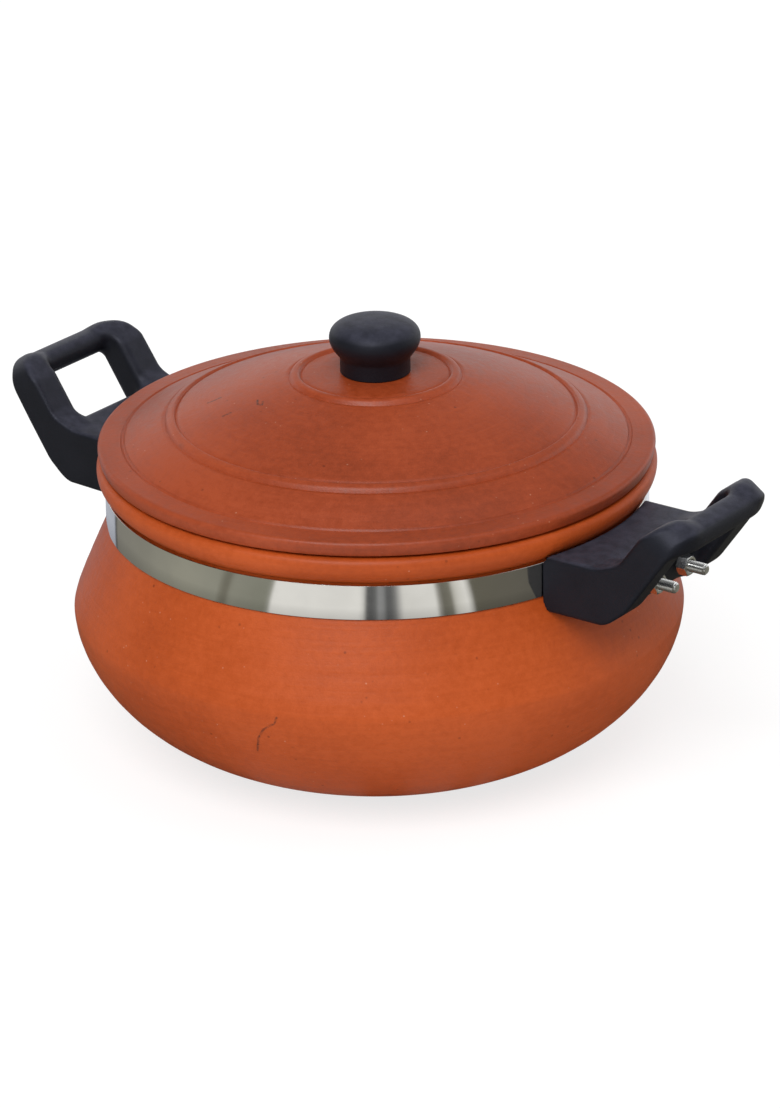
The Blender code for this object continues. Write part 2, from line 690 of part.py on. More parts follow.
def make_handles(parts, cutters, finishes):
    """Both handles with their bolts and nuts; the left side is the right one turned half way round."""
    meshes = {
        "handle": make_handle_mesh(parts, cutters, finishes["bakelite"]),
        "bolt": make_bolt_mesh(parts, finishes["zinc_steel"]),
        "nut": make_nut_mesh(parts, cutters, finishes["zinc_steel"]),
    }
    for side, turn in (("right", 0.0), ("left", pi)):
        mount = bpy.data.objects.new(side + "_side", None)
        mount.rotation_euler = (0.0, 0.0, turn)
        parts.objects.link(mount)
        handle = piece_like(meshes["handle"], "handle_" + side, parts, mount)
        handle.rotation_euler = (pi / 2, 0.0, 0.0)
        front = -1 if side == "right" else 1
        for place, across in (("front", front), ("back", -front)):
            y = across * BOLT_HALF_SPACING
            bolt = piece_like(meshes["bolt"], "bolt_" + side + "_" + place, parts, mount)
            bolt.rotation_euler = (0.0, pi / 2, 0.0)
            bolt.location = (HEAD_FACE_X, y, BOLT_HEIGHT)
            nut = piece_like(meshes["nut"], "nut_" + side + "_" + place, parts, mount)
            nut.location = (WALL_X + CLEARANCE + NUT_HEIGHT / 2, y, BOLT_HEIGHT)


def piece_like(first, name, parts, mount):
    """The first piece itself, or another one that shares its mesh, placed on a mount."""
    obj = first if first.name == name else bpy.data.objects.new(name, first.data)
    if obj is not first:
        parts.objects.link(obj)
    obj.parent = mount
    return obj


def main():
    clear_scene()
    parts = new_collection("clay_handi")
    cutters = new_collection("cutters")
    finishes = {
        "pot_clay": new_material("pot_clay", (0.52, 0.13, 0.035), 0.75),
        "lid_clay": new_material("lid_clay", (0.36, 0.09, 0.045), 0.80),
        "bakelite": new_material("bakelite", (0.020, 0.022, 0.027), 0.45),
        "steel": new_material("steel", (0.62, 0.62, 0.60), 0.15, 1.0),
        "zinc_steel": new_material("zinc_steel", (0.60, 0.61, 0.60), 0.30, 1.0),
        "brass": new_material("brass", (0.72, 0.52, 0.22), 0.30, 1.0),
    }
    make_pot(parts, finishes["pot_clay"])
    make_bands(parts, cutters, finishes["steel"])
    make_handles(parts, cutters, finishes)
    lift = bpy.data.objects.new("lid_lift", None)
    lift.location = (0.0, 0.0, RIM_TOP)
    parts.objects.link(lift)
    make_lid(parts, lift, finishes)
    bpy.context.view_layer.update()


main()
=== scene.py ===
"""Looks of the clay handi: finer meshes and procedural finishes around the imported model."""

from math import asin, cos, pi, radians, sin, tan

import bmesh
import bpy
import numpy as np
from mathutils import Matrix, Vector


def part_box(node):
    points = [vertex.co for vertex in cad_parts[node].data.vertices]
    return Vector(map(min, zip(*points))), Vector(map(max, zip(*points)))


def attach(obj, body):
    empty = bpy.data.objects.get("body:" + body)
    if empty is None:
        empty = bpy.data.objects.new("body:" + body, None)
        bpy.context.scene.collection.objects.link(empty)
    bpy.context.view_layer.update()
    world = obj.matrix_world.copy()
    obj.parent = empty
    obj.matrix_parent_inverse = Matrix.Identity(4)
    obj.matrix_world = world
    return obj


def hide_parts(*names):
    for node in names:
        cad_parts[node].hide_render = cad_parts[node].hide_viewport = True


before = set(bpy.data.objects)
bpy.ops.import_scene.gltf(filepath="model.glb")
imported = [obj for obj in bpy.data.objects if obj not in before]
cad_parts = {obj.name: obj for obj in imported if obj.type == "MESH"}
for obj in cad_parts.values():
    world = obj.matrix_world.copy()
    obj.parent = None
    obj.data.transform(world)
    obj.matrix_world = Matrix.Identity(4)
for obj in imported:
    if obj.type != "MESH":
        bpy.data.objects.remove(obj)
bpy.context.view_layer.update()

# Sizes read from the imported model, and the gap between its pieces
PIECE_GAP = 0.0003
POT_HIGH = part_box("pot_body")[1]
BAND_LOW, BAND_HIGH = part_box("band_front")
LID_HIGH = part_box("lid")[1]
KNOB_LOW, KNOB_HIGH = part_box("knob")
BOLT_LOW, BOLT_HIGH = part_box("bolt_right_front")
NUT_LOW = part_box("nut_right_front")[0]
BELLY_RADIUS = POT_HIGH.x
RIM_TOP = POT_HIGH.z
BAND_BOTTOM = BAND_LOW.z
BAND_TOP = BAND_HIGH.z
BAND_OUTER = BAND_HIGH.x
LID_RADIUS = LID_HIGH.x
LID_TOP = LID_HIGH.z
BOLT_HEIGHT = (BOLT_LOW.z + BOLT_HIGH.z) / 2
WALL_X = NUT_LOW.x - PIECE_GAP

# Pot
FOOT_RADIUS = 0.0570
FOOT_ROUND = 0.0025
BELLY_HEIGHT = 0.0632
LOWER_SPREAD = 0.0552
LOWER_RISE = radians(9.35)
LOWER_FULLNESS = 0.01765
UPPER_FULLNESS = 0.0050
SHOULDER_PULL = 0.0080
SHOULDER_SLOPE = radians(25.0)
SEAT_RADIUS = 0.1146
LAND_MARGIN = 0.0004
EDGE_GAP_DEPTH = 0.0012
EDGE_GAP_HEIGHT = 0.0010
POT_WALL = 0.0080
POT_FLOOR = 0.0090
RIM_BULGE = 0.0041
RIM_ROUND = 0.0040
MOUTH_RADIUS = 0.1075
MOUTH_ROUND = 0.0025
NECK_INNER = 0.1025
# Inside the pot: where the wall's even thickness starts over the floor and ends under the band,
# and how far the bends of the floor, neck and mouth reach
WALL_START = 0.0020
WALL_END = 0.0040
FLOOR_BEND_IN = 0.0080
FLOOR_BEND_OUT = 0.0040
NECK_BEND = (0.0010, 0.0060)
MOUTH_BEND = (0.0040, 0.0010, 0.0085)
# Groove in the neck for the bolts' heads: its depth, its lands along the band's edges and its slope
GROOVE_DEPTH = 0.0041
GROOVE_LAND = (0.0020, 0.0015)
GROOVE_SLOPE = 0.0006
# Unevenness of the thrown wall: its size, the pitch of its turning marks and where it fades out
DENT_SIZE = 0.00009
DENT_LIMIT = 2.45
TURNING_PITCH = 0.0068
TURNING_SHARE = 0.35
DENT_FADE = 0.0200

# Lid, heights above the rim
LID_GAP = PIECE_GAP
LID_DRAFT = 0.0012
BRIM_HEIGHT = 0.0081
BRIM_FALL = 0.0007
BRIM_ROUND = 0.0022
BRIM_WIDTH = 0.0107
LID_RISE = LID_TOP - RIM_TOP
LID_SEAT_RADIUS = 0.0180
CROWN_HEIGHT = 0.0355
CROWN_SLOPE = 0.247
DOME_EDGE_SLOPE = 0.530
# The dome's lean on its brim, and how far in from the groove and out from the knob it fades
DOME_TILT = 0.0115
DOME_TILT_FADE = (0.0140, 0.0100)
LID_THICKNESS = 0.0068
UNDERCUT_HEIGHT = 0.0005
UNDERCUT_WIDTH = 0.0040
LOW_EDGE_ROUND = 0.0006
LOW_EDGE_START = 0.8
RIDGE_HEIGHT = 0.0010
RIDGE_RADII = (0.0340, 0.0870)
RIDGE_WIDTH = 0.0047
RIDGE_FOOT_DEPTH = 0.0006
RIDGE_FOOT_WIDTH = 0.0009
GROOVE_WIDTH = 0.0020
GROOVE_DIP = 0.0014
RING_OUTER = 0.1060
RING_INNER = 0.1005
RING_DEPTH = 0.0070
RING_CHAMFER = 0.0010
SCREW_HOLE = 0.0028

# Handle, in its own frame: u out from the pot's axis, t across, z up, and s along the ramp
HANDLE_HALF_WIDTH = 0.0369
PLATE_BOTTOM = 0.0953
PLATE_TOP = 0.1203
HEEL_SETBACK = 0.0021
RAMP_SLOPE = radians(54.5)
ARM_THICKNESS = 0.0148
LOOP_LENGTH = 0.0555
LOOP_CORNER = 0.0140
ARM_INNER = 0.0212
ARM_EDGE = 0.0036
GRIP_MIDDLE = (0.1704, 0.1371)
GRIP_HALF = (0.0066, 0.0052)
GRIP_ROUND = 0.0045
GRIP_BROW = 0.0028
GRIP_CORNER = 0.0036
CREST_ROUND = 0.0055
TOE_ROUND = 0.0040
GRIP_END_ROUND = 0.0190
GRIP_TOP_BLEND = 0.0070
OUTER_EDGE = 0.0017
CREST_EDGE = 0.0026
WALL_EDGE = 0.0058
RAMP_FILLET = 0.0085
HEEL_FILLET = 0.0100
# How each handle sits on the band: its droop, and its turn away from its own axis
HANDLE_SEATING = {1: (0.0, 0.0), -1: (radians(-1.2), radians(1.8))}
HANDLE_GRID = 0.0008

CLAY_STEPS = 288
# Direction round the pot from which the camera looks
VIEW_AZIMUTH = radians(-54.0)


def new_object(name, mesh):
    """Object of the mesh in the scene's own collection."""
    obj = bpy.data.objects.new(name, mesh)
    bpy.context.scene.collection.objects.link(obj)
    return obj


def smooth(obj, angle=35.0):
    """Smooth shading, with edges sharp past the angle in degrees."""
    obj.data.shade_smooth()
    obj.data.set_sharp_from_angle(angle=radians(angle))
    return obj


def curve_points(a, b, c, d, steps):
    """Points of the cubic curve from a to d, both ends included."""
    t = np.linspace(0.0, 1.0, steps + 1)[:, None]
    s = 1.0 - t
    a, b, c, d = (np.array(p, float) for p in (a, b, c, d))
    return s ** 3 * a + 3 * s * s * t * b + 3 * s * t * t * c + t ** 3 * d


def corner_points(a, corner, b, steps):
    """Points that round a corner from a to b, both ends included."""
    t = np.linspace(0.0, 1.0, steps + 1)[:, None]
    s = 1.0 - t
    a, corner, b = (np.array(p, float) for p in (a, corner, b))
    return s * s * a + 2 * s * t * corner + t * t * b


def rows(*parts):
    """One profile from several runs of points, without doubled points."""
    joined = np.concatenate([np.array(part, float).reshape(-1, 2) for part in parts])
    keep = np.ones(len(joined), bool)
    keep[1:] = np.linalg.norm(np.diff(joined, axis=0), axis=1) > 1e-6
    return joined[keep]


def refined(profile, step):
    """The same profile with its long runs cut into pieces no longer than step."""
    points = [profile[0]]
    for a, b in zip(profile[:-1], profile[1:]):
        count = max(1, int(np.ceil(np.linalg.norm(b - a) / step)))
        points += [a + (b - a) * k / count for k in range(1, count + 1)]
    return np.array(points)


def turned(name, profile, steps, closed=False, wobble=None):
    """Turned mesh from a profile of (radius, height) that runs down its outer side."""
    count = len(profile)
    angle = np.arange(steps) * 2 * pi / steps
    radius = np.repeat(profile[:, :1], steps, 1)
    height = np.repeat(profile[:, 1:], steps, 1)
    if wobble is not None:
        radius, height = wobble(radius, height, np.repeat(angle[None], count, 0))
    points = np.stack([radius * np.cos(angle), radius * np.sin(angle), height], 2).reshape(-1, 3)
    faces = []
    runs = [(i, i + 1) for i in range(count - 1)] + ([(count - 1, 0)] if closed else [])
    for a, b in runs:
        for k in range(steps):
            n = (k + 1) % steps
            faces.append((a * steps + k, b * steps + k, b * steps + n, a * steps + n))
    mesh = bpy.data.meshes.new(name)
    mesh.from_pydata(points.tolist(), [], faces)
    work = bmesh.new()
    work.from_mesh(mesh)
    bmesh.ops.remove_doubles(work, verts=work.verts, dist=0.000001)
    bmesh.ops.recalc_face_normals(work, faces=work.faces)
    work.to_mesh(mesh)
    work.free()
    return smooth(new_object(name, mesh))


# Pot

def belly_side(steps):
    """Outer line of the belly, from the shoulder under the band down to the foot."""
    shoulder = (SEAT_RADIUS, BAND_BOTTOM - LAND_MARGIN)
    pull = (
        shoulder[0] + SHOULDER_PULL * sin(SHOULDER_SLOPE),
        shoulder[1] - SHOULDER_PULL * cos(SHOULDER_SLOPE),
    )
    widest = (BELLY_RADIUS, BELLY_HEIGHT)
    rise = (FOOT_RADIUS + LOWER_SPREAD * cos(LOWER_RISE), LOWER_SPREAD * sin(LOWER_RISE))
    upper = curve_points(shoulder, pull, (BELLY_RADIUS, BELLY_HEIGHT + UPPER_FULLNESS), widest, steps)
    lower = curve_points(
        widest, (BELLY_RADIUS, BELLY_HEIGHT - LOWER_FULLNESS), rise, (FOOT_RADIUS, 0.0), steps
    )
    return rows(upper, lower)


def inset(points, distance):
    """A line moved square to itself, to the right of its direction."""
    run = np.gradient(points, axis=0)
    run /= np.linalg.norm(run, axis=1)[:, None]
    return points + distance * np.stack([run[:, 1], -run[:, 0]], 1)


def pot_profile():
    """Whole section of the pot: up its inside, over the rim and down its outside."""
    belly = belly_side(48)
    wall = inset(belly, POT_WALL)
    wall = wall[(wall[:, 1] > POT_FLOOR + WALL_START) & (wall[:, 1] < BAND_BOTTOM - WALL_END)][::-1]
    top_land = BAND_TOP + LAND_MARGIN
    lip_low = RIM_TOP - RIM_ROUND
    rim_radius = SEAT_RADIUS + RIM_BULGE
    floor = corner_points(
        (FOOT_RADIUS - FLOOR_BEND_IN, POT_FLOOR), (FOOT_RADIUS + FLOOR_BEND_OUT, POT_FLOOR), wall[0], 6
    )
    neck = corner_points(
        wall[-1], (NECK_INNER, BAND_BOTTOM + NECK_BEND[0]), (NECK_INNER, BAND_BOTTOM + NECK_BEND[1]), 8
    )
    step = corner_points(
        (NECK_INNER, BAND_TOP - MOUTH_BEND[0]),
        (NECK_INNER, BAND_TOP + MOUTH_BEND[1]),
        (MOUTH_RADIUS, RIM_TOP - MOUTH_BEND[2]),
        8,
    )
    mouth = corner_points(
        (MOUTH_RADIUS, RIM_TOP - MOUTH_ROUND),
        (MOUTH_RADIUS, RIM_TOP),
        (MOUTH_RADIUS + MOUTH_ROUND, RIM_TOP),
        6,
    )
    lip = corner_points((rim_radius - RIM_ROUND, RIM_TOP), (rim_radius, RIM_TOP), (rim_radius, lip_low), 8)
    gap_top = (SEAT_RADIUS, top_land + EDGE_GAP_HEIGHT)
    under_lip = corner_points((rim_radius, lip_low), (rim_radius, (lip_low + top_land) / 2), gap_top, 10)
    high_land = top_land - GROOVE_LAND[0]
    low_land = BAND_BOTTOM + GROOVE_LAND[1]
    groove = [
        (SEAT_RADIUS - EDGE_GAP_DEPTH, top_land),
        (SEAT_RADIUS - EDGE_GAP_DEPTH, high_land),
        (SEAT_RADIUS - GROOVE_DEPTH, high_land - GROOVE_SLOPE),
        (SEAT_RADIUS - GROOVE_DEPTH, low_land + GROOVE_SLOPE),
        (SEAT_RADIUS - EDGE_GAP_DEPTH, low_land),
        (SEAT_RADIUS - EDGE_GAP_DEPTH, BAND_BOTTOM - LAND_MARGIN / 2),
    ]
    foot = corner_points(belly[-4], (FOOT_RADIUS, 0.0), (FOOT_RADIUS - FOOT_ROUND, 0.0), 4)
    outer = rows(belly[:-4], foot)
    inside = rows([(0.0, POT_FLOOR)], floor, wall, neck, step, mouth)
    return rows(inside, lip, under_lip, groove, outer, [(0.0, 0.0)])


def make_pot():
    def wobble(radius, height, angle):
        """The thrown wall dips in a little here and there, never out of its true size."""
        under_band = np.clip((BAND_BOTTOM - WALL_END - height) / DENT_FADE, 0.0, 1.0)
        over_foot = np.clip(height / DENT_FADE, 0.0, 1.0)
        waves = (
            np.sin(2 * angle + 0.7 + 18 * height)
            + 0.7 * np.sin(3 * angle + 2.1 - 30 * height)
            + 0.4 * np.sin(5 * angle + 4.0 + 55 * height)
        )
        rings = TURNING_SHARE * np.sin(height * 2 * pi / TURNING_PITCH + 0.6 * np.sin(2 * angle))
        dip = DENT_SIZE * (waves + rings - DENT_LIMIT)
        return radius + dip * under_band * over_foot, height

    return turned("pot_clay_body", refined(pot_profile(), 0.003), CLAY_STEPS, wobble=wobble)


# Lid

def dome_height(radius):
    """Height of the lid's top over the rim, without its rings."""
    inner = RIDGE_RADII[0]
    middle = np.clip((inner - radius) / (inner - LID_SEAT_RADIUS), 0.0, 1.0)
    span = LID_RADIUS - BRIM_WIDTH - inner
    t = np.clip((radius - inner) / span, 0.0, None)
    start = (2 * t ** 3 - 3 * t * t + 1) * CROWN_HEIGHT
    start_slope = (t ** 3 - 2 * t * t + t) * span * -CROWN_SLOPE
    end = (3 * t * t - 2 * t ** 3) * BRIM_HEIGHT
    end_slope = (t ** 3 - t * t) * span * -DOME_EDGE_SLOPE
    return start + start_slope + end + end_slope + (LID_RISE - CROWN_HEIGHT) * middle * (2 - middle)


def ridge_lift(radius):
    """Height of the raised rings over the dome: round on top, with a fine groove along each foot."""
    lift = np.zeros_like(radius)
    for middle in RIDGE_RADII:
        away = np.abs(radius - middle)
        flank = np.clip((RIDGE_WIDTH / 2 - away) / (RIDGE_WIDTH / 4), 0.0, 1.0)
        foot = (away - RIDGE_WIDTH / 2) / RIDGE_FOOT_WIDTH
        lift += RIDGE_HEIGHT * flank * (2 - flank) - RIDGE_FOOT_DEPTH * np.exp(-foot * foot)
    return lift


def lid_profile():
    """Closed section of the lid: out over its top, round the brim and back underneath."""
    groove_radius = LID_RADIUS - BRIM_WIDTH
    radii = np.linspace(LID_SEAT_RADIUS, groove_radius - GROOVE_WIDTH / 2, 230)
    dome = np.stack([radii, dome_height(radii) + ridge_lift(radii)], 1)
    brim_top = BRIM_HEIGHT - BRIM_FALL
    groove = corner_points(
        (groove_radius - GROOVE_WIDTH / 2, dome[-1][1]),
        (groove_radius - GROOVE_WIDTH / 10, BRIM_HEIGHT - GROOVE_DIP),
        (groove_radius + GROOVE_WIDTH / 2, BRIM_HEIGHT),
        8,
    )
    edge = corner_points(
        (LID_RADIUS - BRIM_ROUND, brim_top), (LID_RADIUS, brim_top), (LID_RADIUS, brim_top - BRIM_ROUND), 8
    )
    low_edge = corner_points(
        (LID_RADIUS - LID_DRAFT * LOW_EDGE_START, LID_GAP + UNDERCUT_HEIGHT + LOW_EDGE_ROUND),
        (LID_RADIUS - LID_DRAFT, LID_GAP + UNDERCUT_HEIGHT),
        (LID_RADIUS - LID_DRAFT - UNDERCUT_WIDTH, LID_GAP),
        6,
    )
    ring = [
        (RING_OUTER, LID_GAP),
        (RING_OUTER, -RING_DEPTH + RING_CHAMFER),
        (RING_OUTER - RING_CHAMFER, -RING_DEPTH),
        (RING_INNER + RING_CHAMFER, -RING_DEPTH),
        (RING_INNER, -RING_DEPTH + RING_CHAMFER),
    ]
    under_radii = np.linspace(RING_INNER, LID_SEAT_RADIUS, 40)
    under = np.stack([under_radii, dome_height(under_radii) - LID_THICKNESS], 1)
    profile = rows(
        [(SCREW_HOLE, LID_RISE)], dome, groove, edge, low_edge, ring, under,
        [(SCREW_HOLE, LID_RISE - LID_THICKNESS)],
    )
    return profile + np.array([0.0, RIM_TOP])


def make_lid():
    def wobble(radius, height, angle):
        """The dome leans a little on its true brim: up towards the front, down at the back."""
        share = np.clip((LID_RADIUS - BRIM_WIDTH - radius) / DOME_TILT_FADE[0], 0.0, 1.0)
        share = share * share * (3 - 2 * share)
        share = share * np.clip((radius - LID_SEAT_RADIUS) / DOME_TILT_FADE[1], 0.0, 1.0)
        return radius, height + DOME_TILT * radius * share * np.cos(angle - VIEW_AZIMUTH)

    return turned("lid_clay_shell", refined(lid_profile(), 0.0025), CLAY_STEPS, closed=True, wobble=wobble)


# Knob

KNOB_STEM_RADIUS = 0.01486
KNOB_STEM_HEIGHT = 0.0068
KNOB_HEAD_HEIGHT = 0.0155
KNOB_TOP_RADIUS = 0.0060
KNOB_TOP_FALL = 0.0003
KNOB_TOP_PULL = 0.0090
KNOB_BROW_PULL = 0.0046
KNOB_UNDER_PULL = 0.0038
KNOB_WAIST_PULL = 0.0018
KNOB_WAIST_SLOPE = radians(68.0)
POCKET_RADIUS = 0.0048
POCKET_DEPTH = 0.0113
KNOB_FOOT_CHAMFER = 0.0006


def make_knob():
    top = KNOB_HIGH.z - KNOB_LOW.z
    widest = (KNOB_HIGH.x, KNOB_HEAD_HEIGHT)
    radii = np.linspace(0.0, KNOB_TOP_RADIUS, 8)
    middle = np.stack([radii, top - KNOB_TOP_FALL * (radii / KNOB_TOP_RADIUS) ** 2], 1)
    head = curve_points(
        middle[-1],
        (KNOB_TOP_RADIUS + KNOB_TOP_PULL, top - 2 * KNOB_TOP_FALL),
        (KNOB_HIGH.x, KNOB_HEAD_HEIGHT + KNOB_BROW_PULL),
        widest,
        28,
    )
    waist = (
        KNOB_STEM_RADIUS + KNOB_WAIST_PULL * cos(KNOB_WAIST_SLOPE),
        KNOB_STEM_HEIGHT + KNOB_WAIST_PULL * sin(KNOB_WAIST_SLOPE),
    )
    under = curve_points(
        widest,
        (KNOB_HIGH.x, KNOB_HEAD_HEIGHT - KNOB_UNDER_PULL),
        waist,
        (KNOB_STEM_RADIUS, KNOB_STEM_HEIGHT),
        20,
    )
    stem = [
        (KNOB_STEM_RADIUS, KNOB_FOOT_CHAMFER),
        (KNOB_STEM_RADIUS - KNOB_FOOT_CHAMFER, 0.0),
        (POCKET_RADIUS, 0.0),
    ]
    pocket = [(POCKET_RADIUS, POCKET_DEPTH), (0.0, POCKET_DEPTH)]
    profile = rows(middle, head, under, stem, pocket) + np.array([0.0, KNOB_LOW.z])
    return turned("knob_moulding", profile, 128)


# Band

BAND_SHEET = 0.0006
BAND_EDGE = 0.00022
BAND_INSET = 0.00002
BAND_STEPS = 150


def make_band(name, side):
    """Half hoop with softly rounded edges, between the two bolt gaps."""
    low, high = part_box(name)
    inner = BAND_OUTER - BAND_SHEET
    gap = min(abs(low.y), abs(high.y))
    start = asin(gap / BAND_OUTER)
    turned_in = BAND_OUTER - BAND_EDGE
    top_edge = corner_points(
        (turned_in, BAND_TOP), (BAND_OUTER, BAND_TOP), (BAND_OUTER, BAND_TOP - BAND_EDGE), 3
    )
    low_edge = corner_points(
        (BAND_OUTER, BAND_BOTTOM + BAND_EDGE), (BAND_OUTER, BAND_BOTTOM), (turned_in, BAND_BOTTOM), 3
    )
    section = rows([(inner, BAND_BOTTOM), (inner, BAND_TOP)], top_edge, low_edge)
    section = section - np.array([BAND_INSET, 0.0])
    mesh = bpy.data.meshes.new(name + "_strip")
    work = bmesh.new()
    previous = None
    for k in range(BAND_STEPS + 1):
        angle = side * (start + (pi - 2 * start) * k / BAND_STEPS)
        ring = [work.verts.new((r * cos(angle), r * sin(angle), z)) for r, z in section]
        if previous is None:
            work.faces.new(ring)
        else:
            for i, vert in enumerate(ring):
                j = (i + 1) % len(ring)
                work.faces.new((previous[i], previous[j], ring[j], vert))
        previous = ring
    work.faces.new(list(reversed(previous)))
    bmesh.ops.recalc_face_normals(work, faces=work.faces)
    work.to_mesh(mesh)
    work.free()
    return smooth(new_object(name + "_strip", mesh), 30.0)


# Handles: a smooth solid, given by its distance function and meshed on a grid

def round_and(a, b, radius):
    """Common part of two solids, with a rounded edge of the radius."""
    over = np.sqrt(np.maximum(a + radius, 0.0) ** 2 + np.maximum(b + radius, 0.0) ** 2)
    return np.minimum(-radius, np.maximum(a, b)) + over


def round_or(a, b, radius):
    """Both solids together, with a fillet of the radius between them."""
    return -round_and(-a, -b, radius)


def ramp_axes():
    """Directions along and across the slanted loop of a handle."""
    along = np.array([cos(RAMP_SLOPE), 0.0, sin(RAMP_SLOPE)])
    across = np.array([-sin(RAMP_SLOPE), 0.0, cos(RAMP_SLOPE)])
    return along, across


def neck_radius(z):
    """Outer radius of what the handle's inner face sits on, at a height."""
    rim = SEAT_RADIUS + RIM_BULGE
    lift = np.clip((z - BAND_TOP) / (RIM_TOP - RIM_ROUND - BAND_TOP), 0.0, 1.0)
    above = BAND_OUTER + (rim - BAND_OUTER) * (1 - (1 - lift) ** 2)
    belly = belly_side(40)[::-1]
    below = np.interp(z, belly[:, 1], belly[:, 0])
    return np.where(z > BAND_TOP, above, np.maximum(below * (z < BAND_BOTTOM), BAND_OUTER)) + PIECE_GAP


def handle_distance(points):
    """Distance to the handle's surface in its own frame, negative inside."""
    u, t, z = points.T
    heel = np.array([WALL_X - HEEL_SETBACK, 0.0, PLATE_BOTTOM])
    along, across = ramp_axes()
    s = (points - heel) @ along
    w = (points - heel) @ across
    crest = GRIP_MIDDLE[1] + GRIP_HALF[1]
    arms = round_and(w - ARM_THICKNESS, z - crest, CREST_ROUND)
    arms = round_and(arms, -w, TOE_ROUND)
    arms = round_and(arms, ARM_INNER - np.abs(t), ARM_EDGE)
    far = GRIP_MIDDLE[0] + GRIP_HALF[0]
    brow = round_and(u - far, z - crest, GRIP_BROW)
    inner = round_and(GRIP_MIDDLE[0] - GRIP_HALF[0] - u, GRIP_MIDDLE[1] - GRIP_HALF[1] - z, GRIP_ROUND)
    ends = round_and(u - far, np.abs(t) - HANDLE_HALF_WIDTH, GRIP_END_ROUND)
    grip = round_and(round_and(brow, inner, GRIP_ROUND), ends, GRIP_BROW)
    lift = np.clip((z - GRIP_MIDDLE[1]) / GRIP_HALF[1], 0.0, 1.0)
    loop = round_or(arms, grip, GRIP_CORNER + (GRIP_TOP_BLEND - GRIP_CORNER) * lift)
    plate = round_and(round_and(z - PLATE_TOP, u - WALL_X, WALL_EDGE), -w, HEEL_FILLET)
    height = np.clip((z - BOLT_HEIGHT) / (PLATE_TOP - BOLT_HEIGHT), 0.0, 1.0)
    outward = np.clip((np.abs(t) - ARM_INNER + 0.002) / 0.006, 0.0, 1.0)
    fillet = GRIP_CORNER + (RAMP_FILLET - GRIP_CORNER) * height * height * outward
    body = round_or(plate, loop, fillet)
    body = round_and(body, PLATE_BOTTOM - z, HEEL_FILLET)
    plan = round_and(s - LOOP_LENGTH, np.abs(t) - HANDLE_HALF_WIDTH, LOOP_CORNER)
    edge = OUTER_EDGE + (CREST_EDGE - OUTER_EDGE) * np.clip(s / LOOP_LENGTH * 2.5 - 1.3, 0.0, 1.0)
    body = round_and(body, plan, edge)
    neck = neck_radius(z) - np.hypot(u, t)
    return round_and(body, neck, 0.0004)


def surface_net(distance, low, high, step):
    """Quads over the zero surface of a distance function, their corners moved onto the surface."""
    counts = [int(np.ceil((b - a) / step)) + 1 for a, b in zip(low, high)]
    axes = [a + step * np.arange(n) for a, n in zip(low, counts)]
    grid = np.stack(np.meshgrid(*axes, indexing="ij"), 3)
    value = distance(grid.reshape(-1, 3)).reshape(counts)
    inside = value < 0
    cells = np.zeros([n - 1 for n in counts], int)
    total = np.zeros((*cells.shape, 3))
    for axis in range(3):
        here = [slice(None)] * 3
        there = [slice(None)] * 3
        here[axis] = slice(None, -1)
        there[axis] = slice(1, None)
        a, b = value[tuple(here)], value[tuple(there)]
        crossed = (a < 0) != (b < 0)
        share = np.where(crossed, a / np.where(crossed, a - b, 1.0), 0.0)
        spot = grid[tuple(here)].copy()
        spot[..., axis] += share * step
        others = [k for k in range(3) if k != axis]
        for first in (0, 1):
            for second in (0, 1):
                pick = [slice(None)] * 3
                for k, end in zip(others, (first, second)):
                    pick[k] = slice(end, counts[k] - 1 + end)
                hit = crossed[tuple(pick)]
                cells += hit
                total += np.where(hit[..., None], spot[tuple(pick)], 0.0)
    used = cells > 0
    index = np.full(cells.shape, -1)
    index[used] = np.arange(used.sum())
    points = total[used] / cells[used][:, None]
    faces = []
    for axis in range(3):
        here = [slice(1, -1)] * 3
        there = [slice(1, -1)] * 3
        here[axis] = slice(None, -1)
        there[axis] = slice(1, None)
        start, end = inside[tuple(here)], inside[tuple(there)]
        p, q = [k for k in range(3) if k != axis]
        corners = []
        for shift in ((1, 1), (0, 1), (0, 0), (1, 0)):
            pick = [slice(None)] * 3
            for k, move in zip((p, q), shift):
                pick[k] = slice(move, counts[k] - 2 + move)
            corners.append(index[tuple(pick)])
        quad = np.stack(corners, 3)
        if axis == 1:
            quad = quad[..., ::-1]
        faces.append(quad[start & ~end][:, ::-1])
        faces.append(quad[~start & end])
    faces = np.concatenate(faces)
    for _ in range(4):
        points = onto_surface(distance, points, step)
    return points, faces


def onto_surface(distance, points, limit):
    """Each point moved along the slope of the distance function to its zero."""
    small = 0.00002
    slope = np.stack(
        [
            (distance(points + small * axis) - distance(points - small * axis)) / (2 * small)
            for axis in np.eye(3)
        ],
        1,
    )
    move = distance(points)[:, None] * slope / np.maximum((slope ** 2).sum(1, keepdims=True), 0.05)
    return points - np.clip(move, -limit / 2, limit / 2)


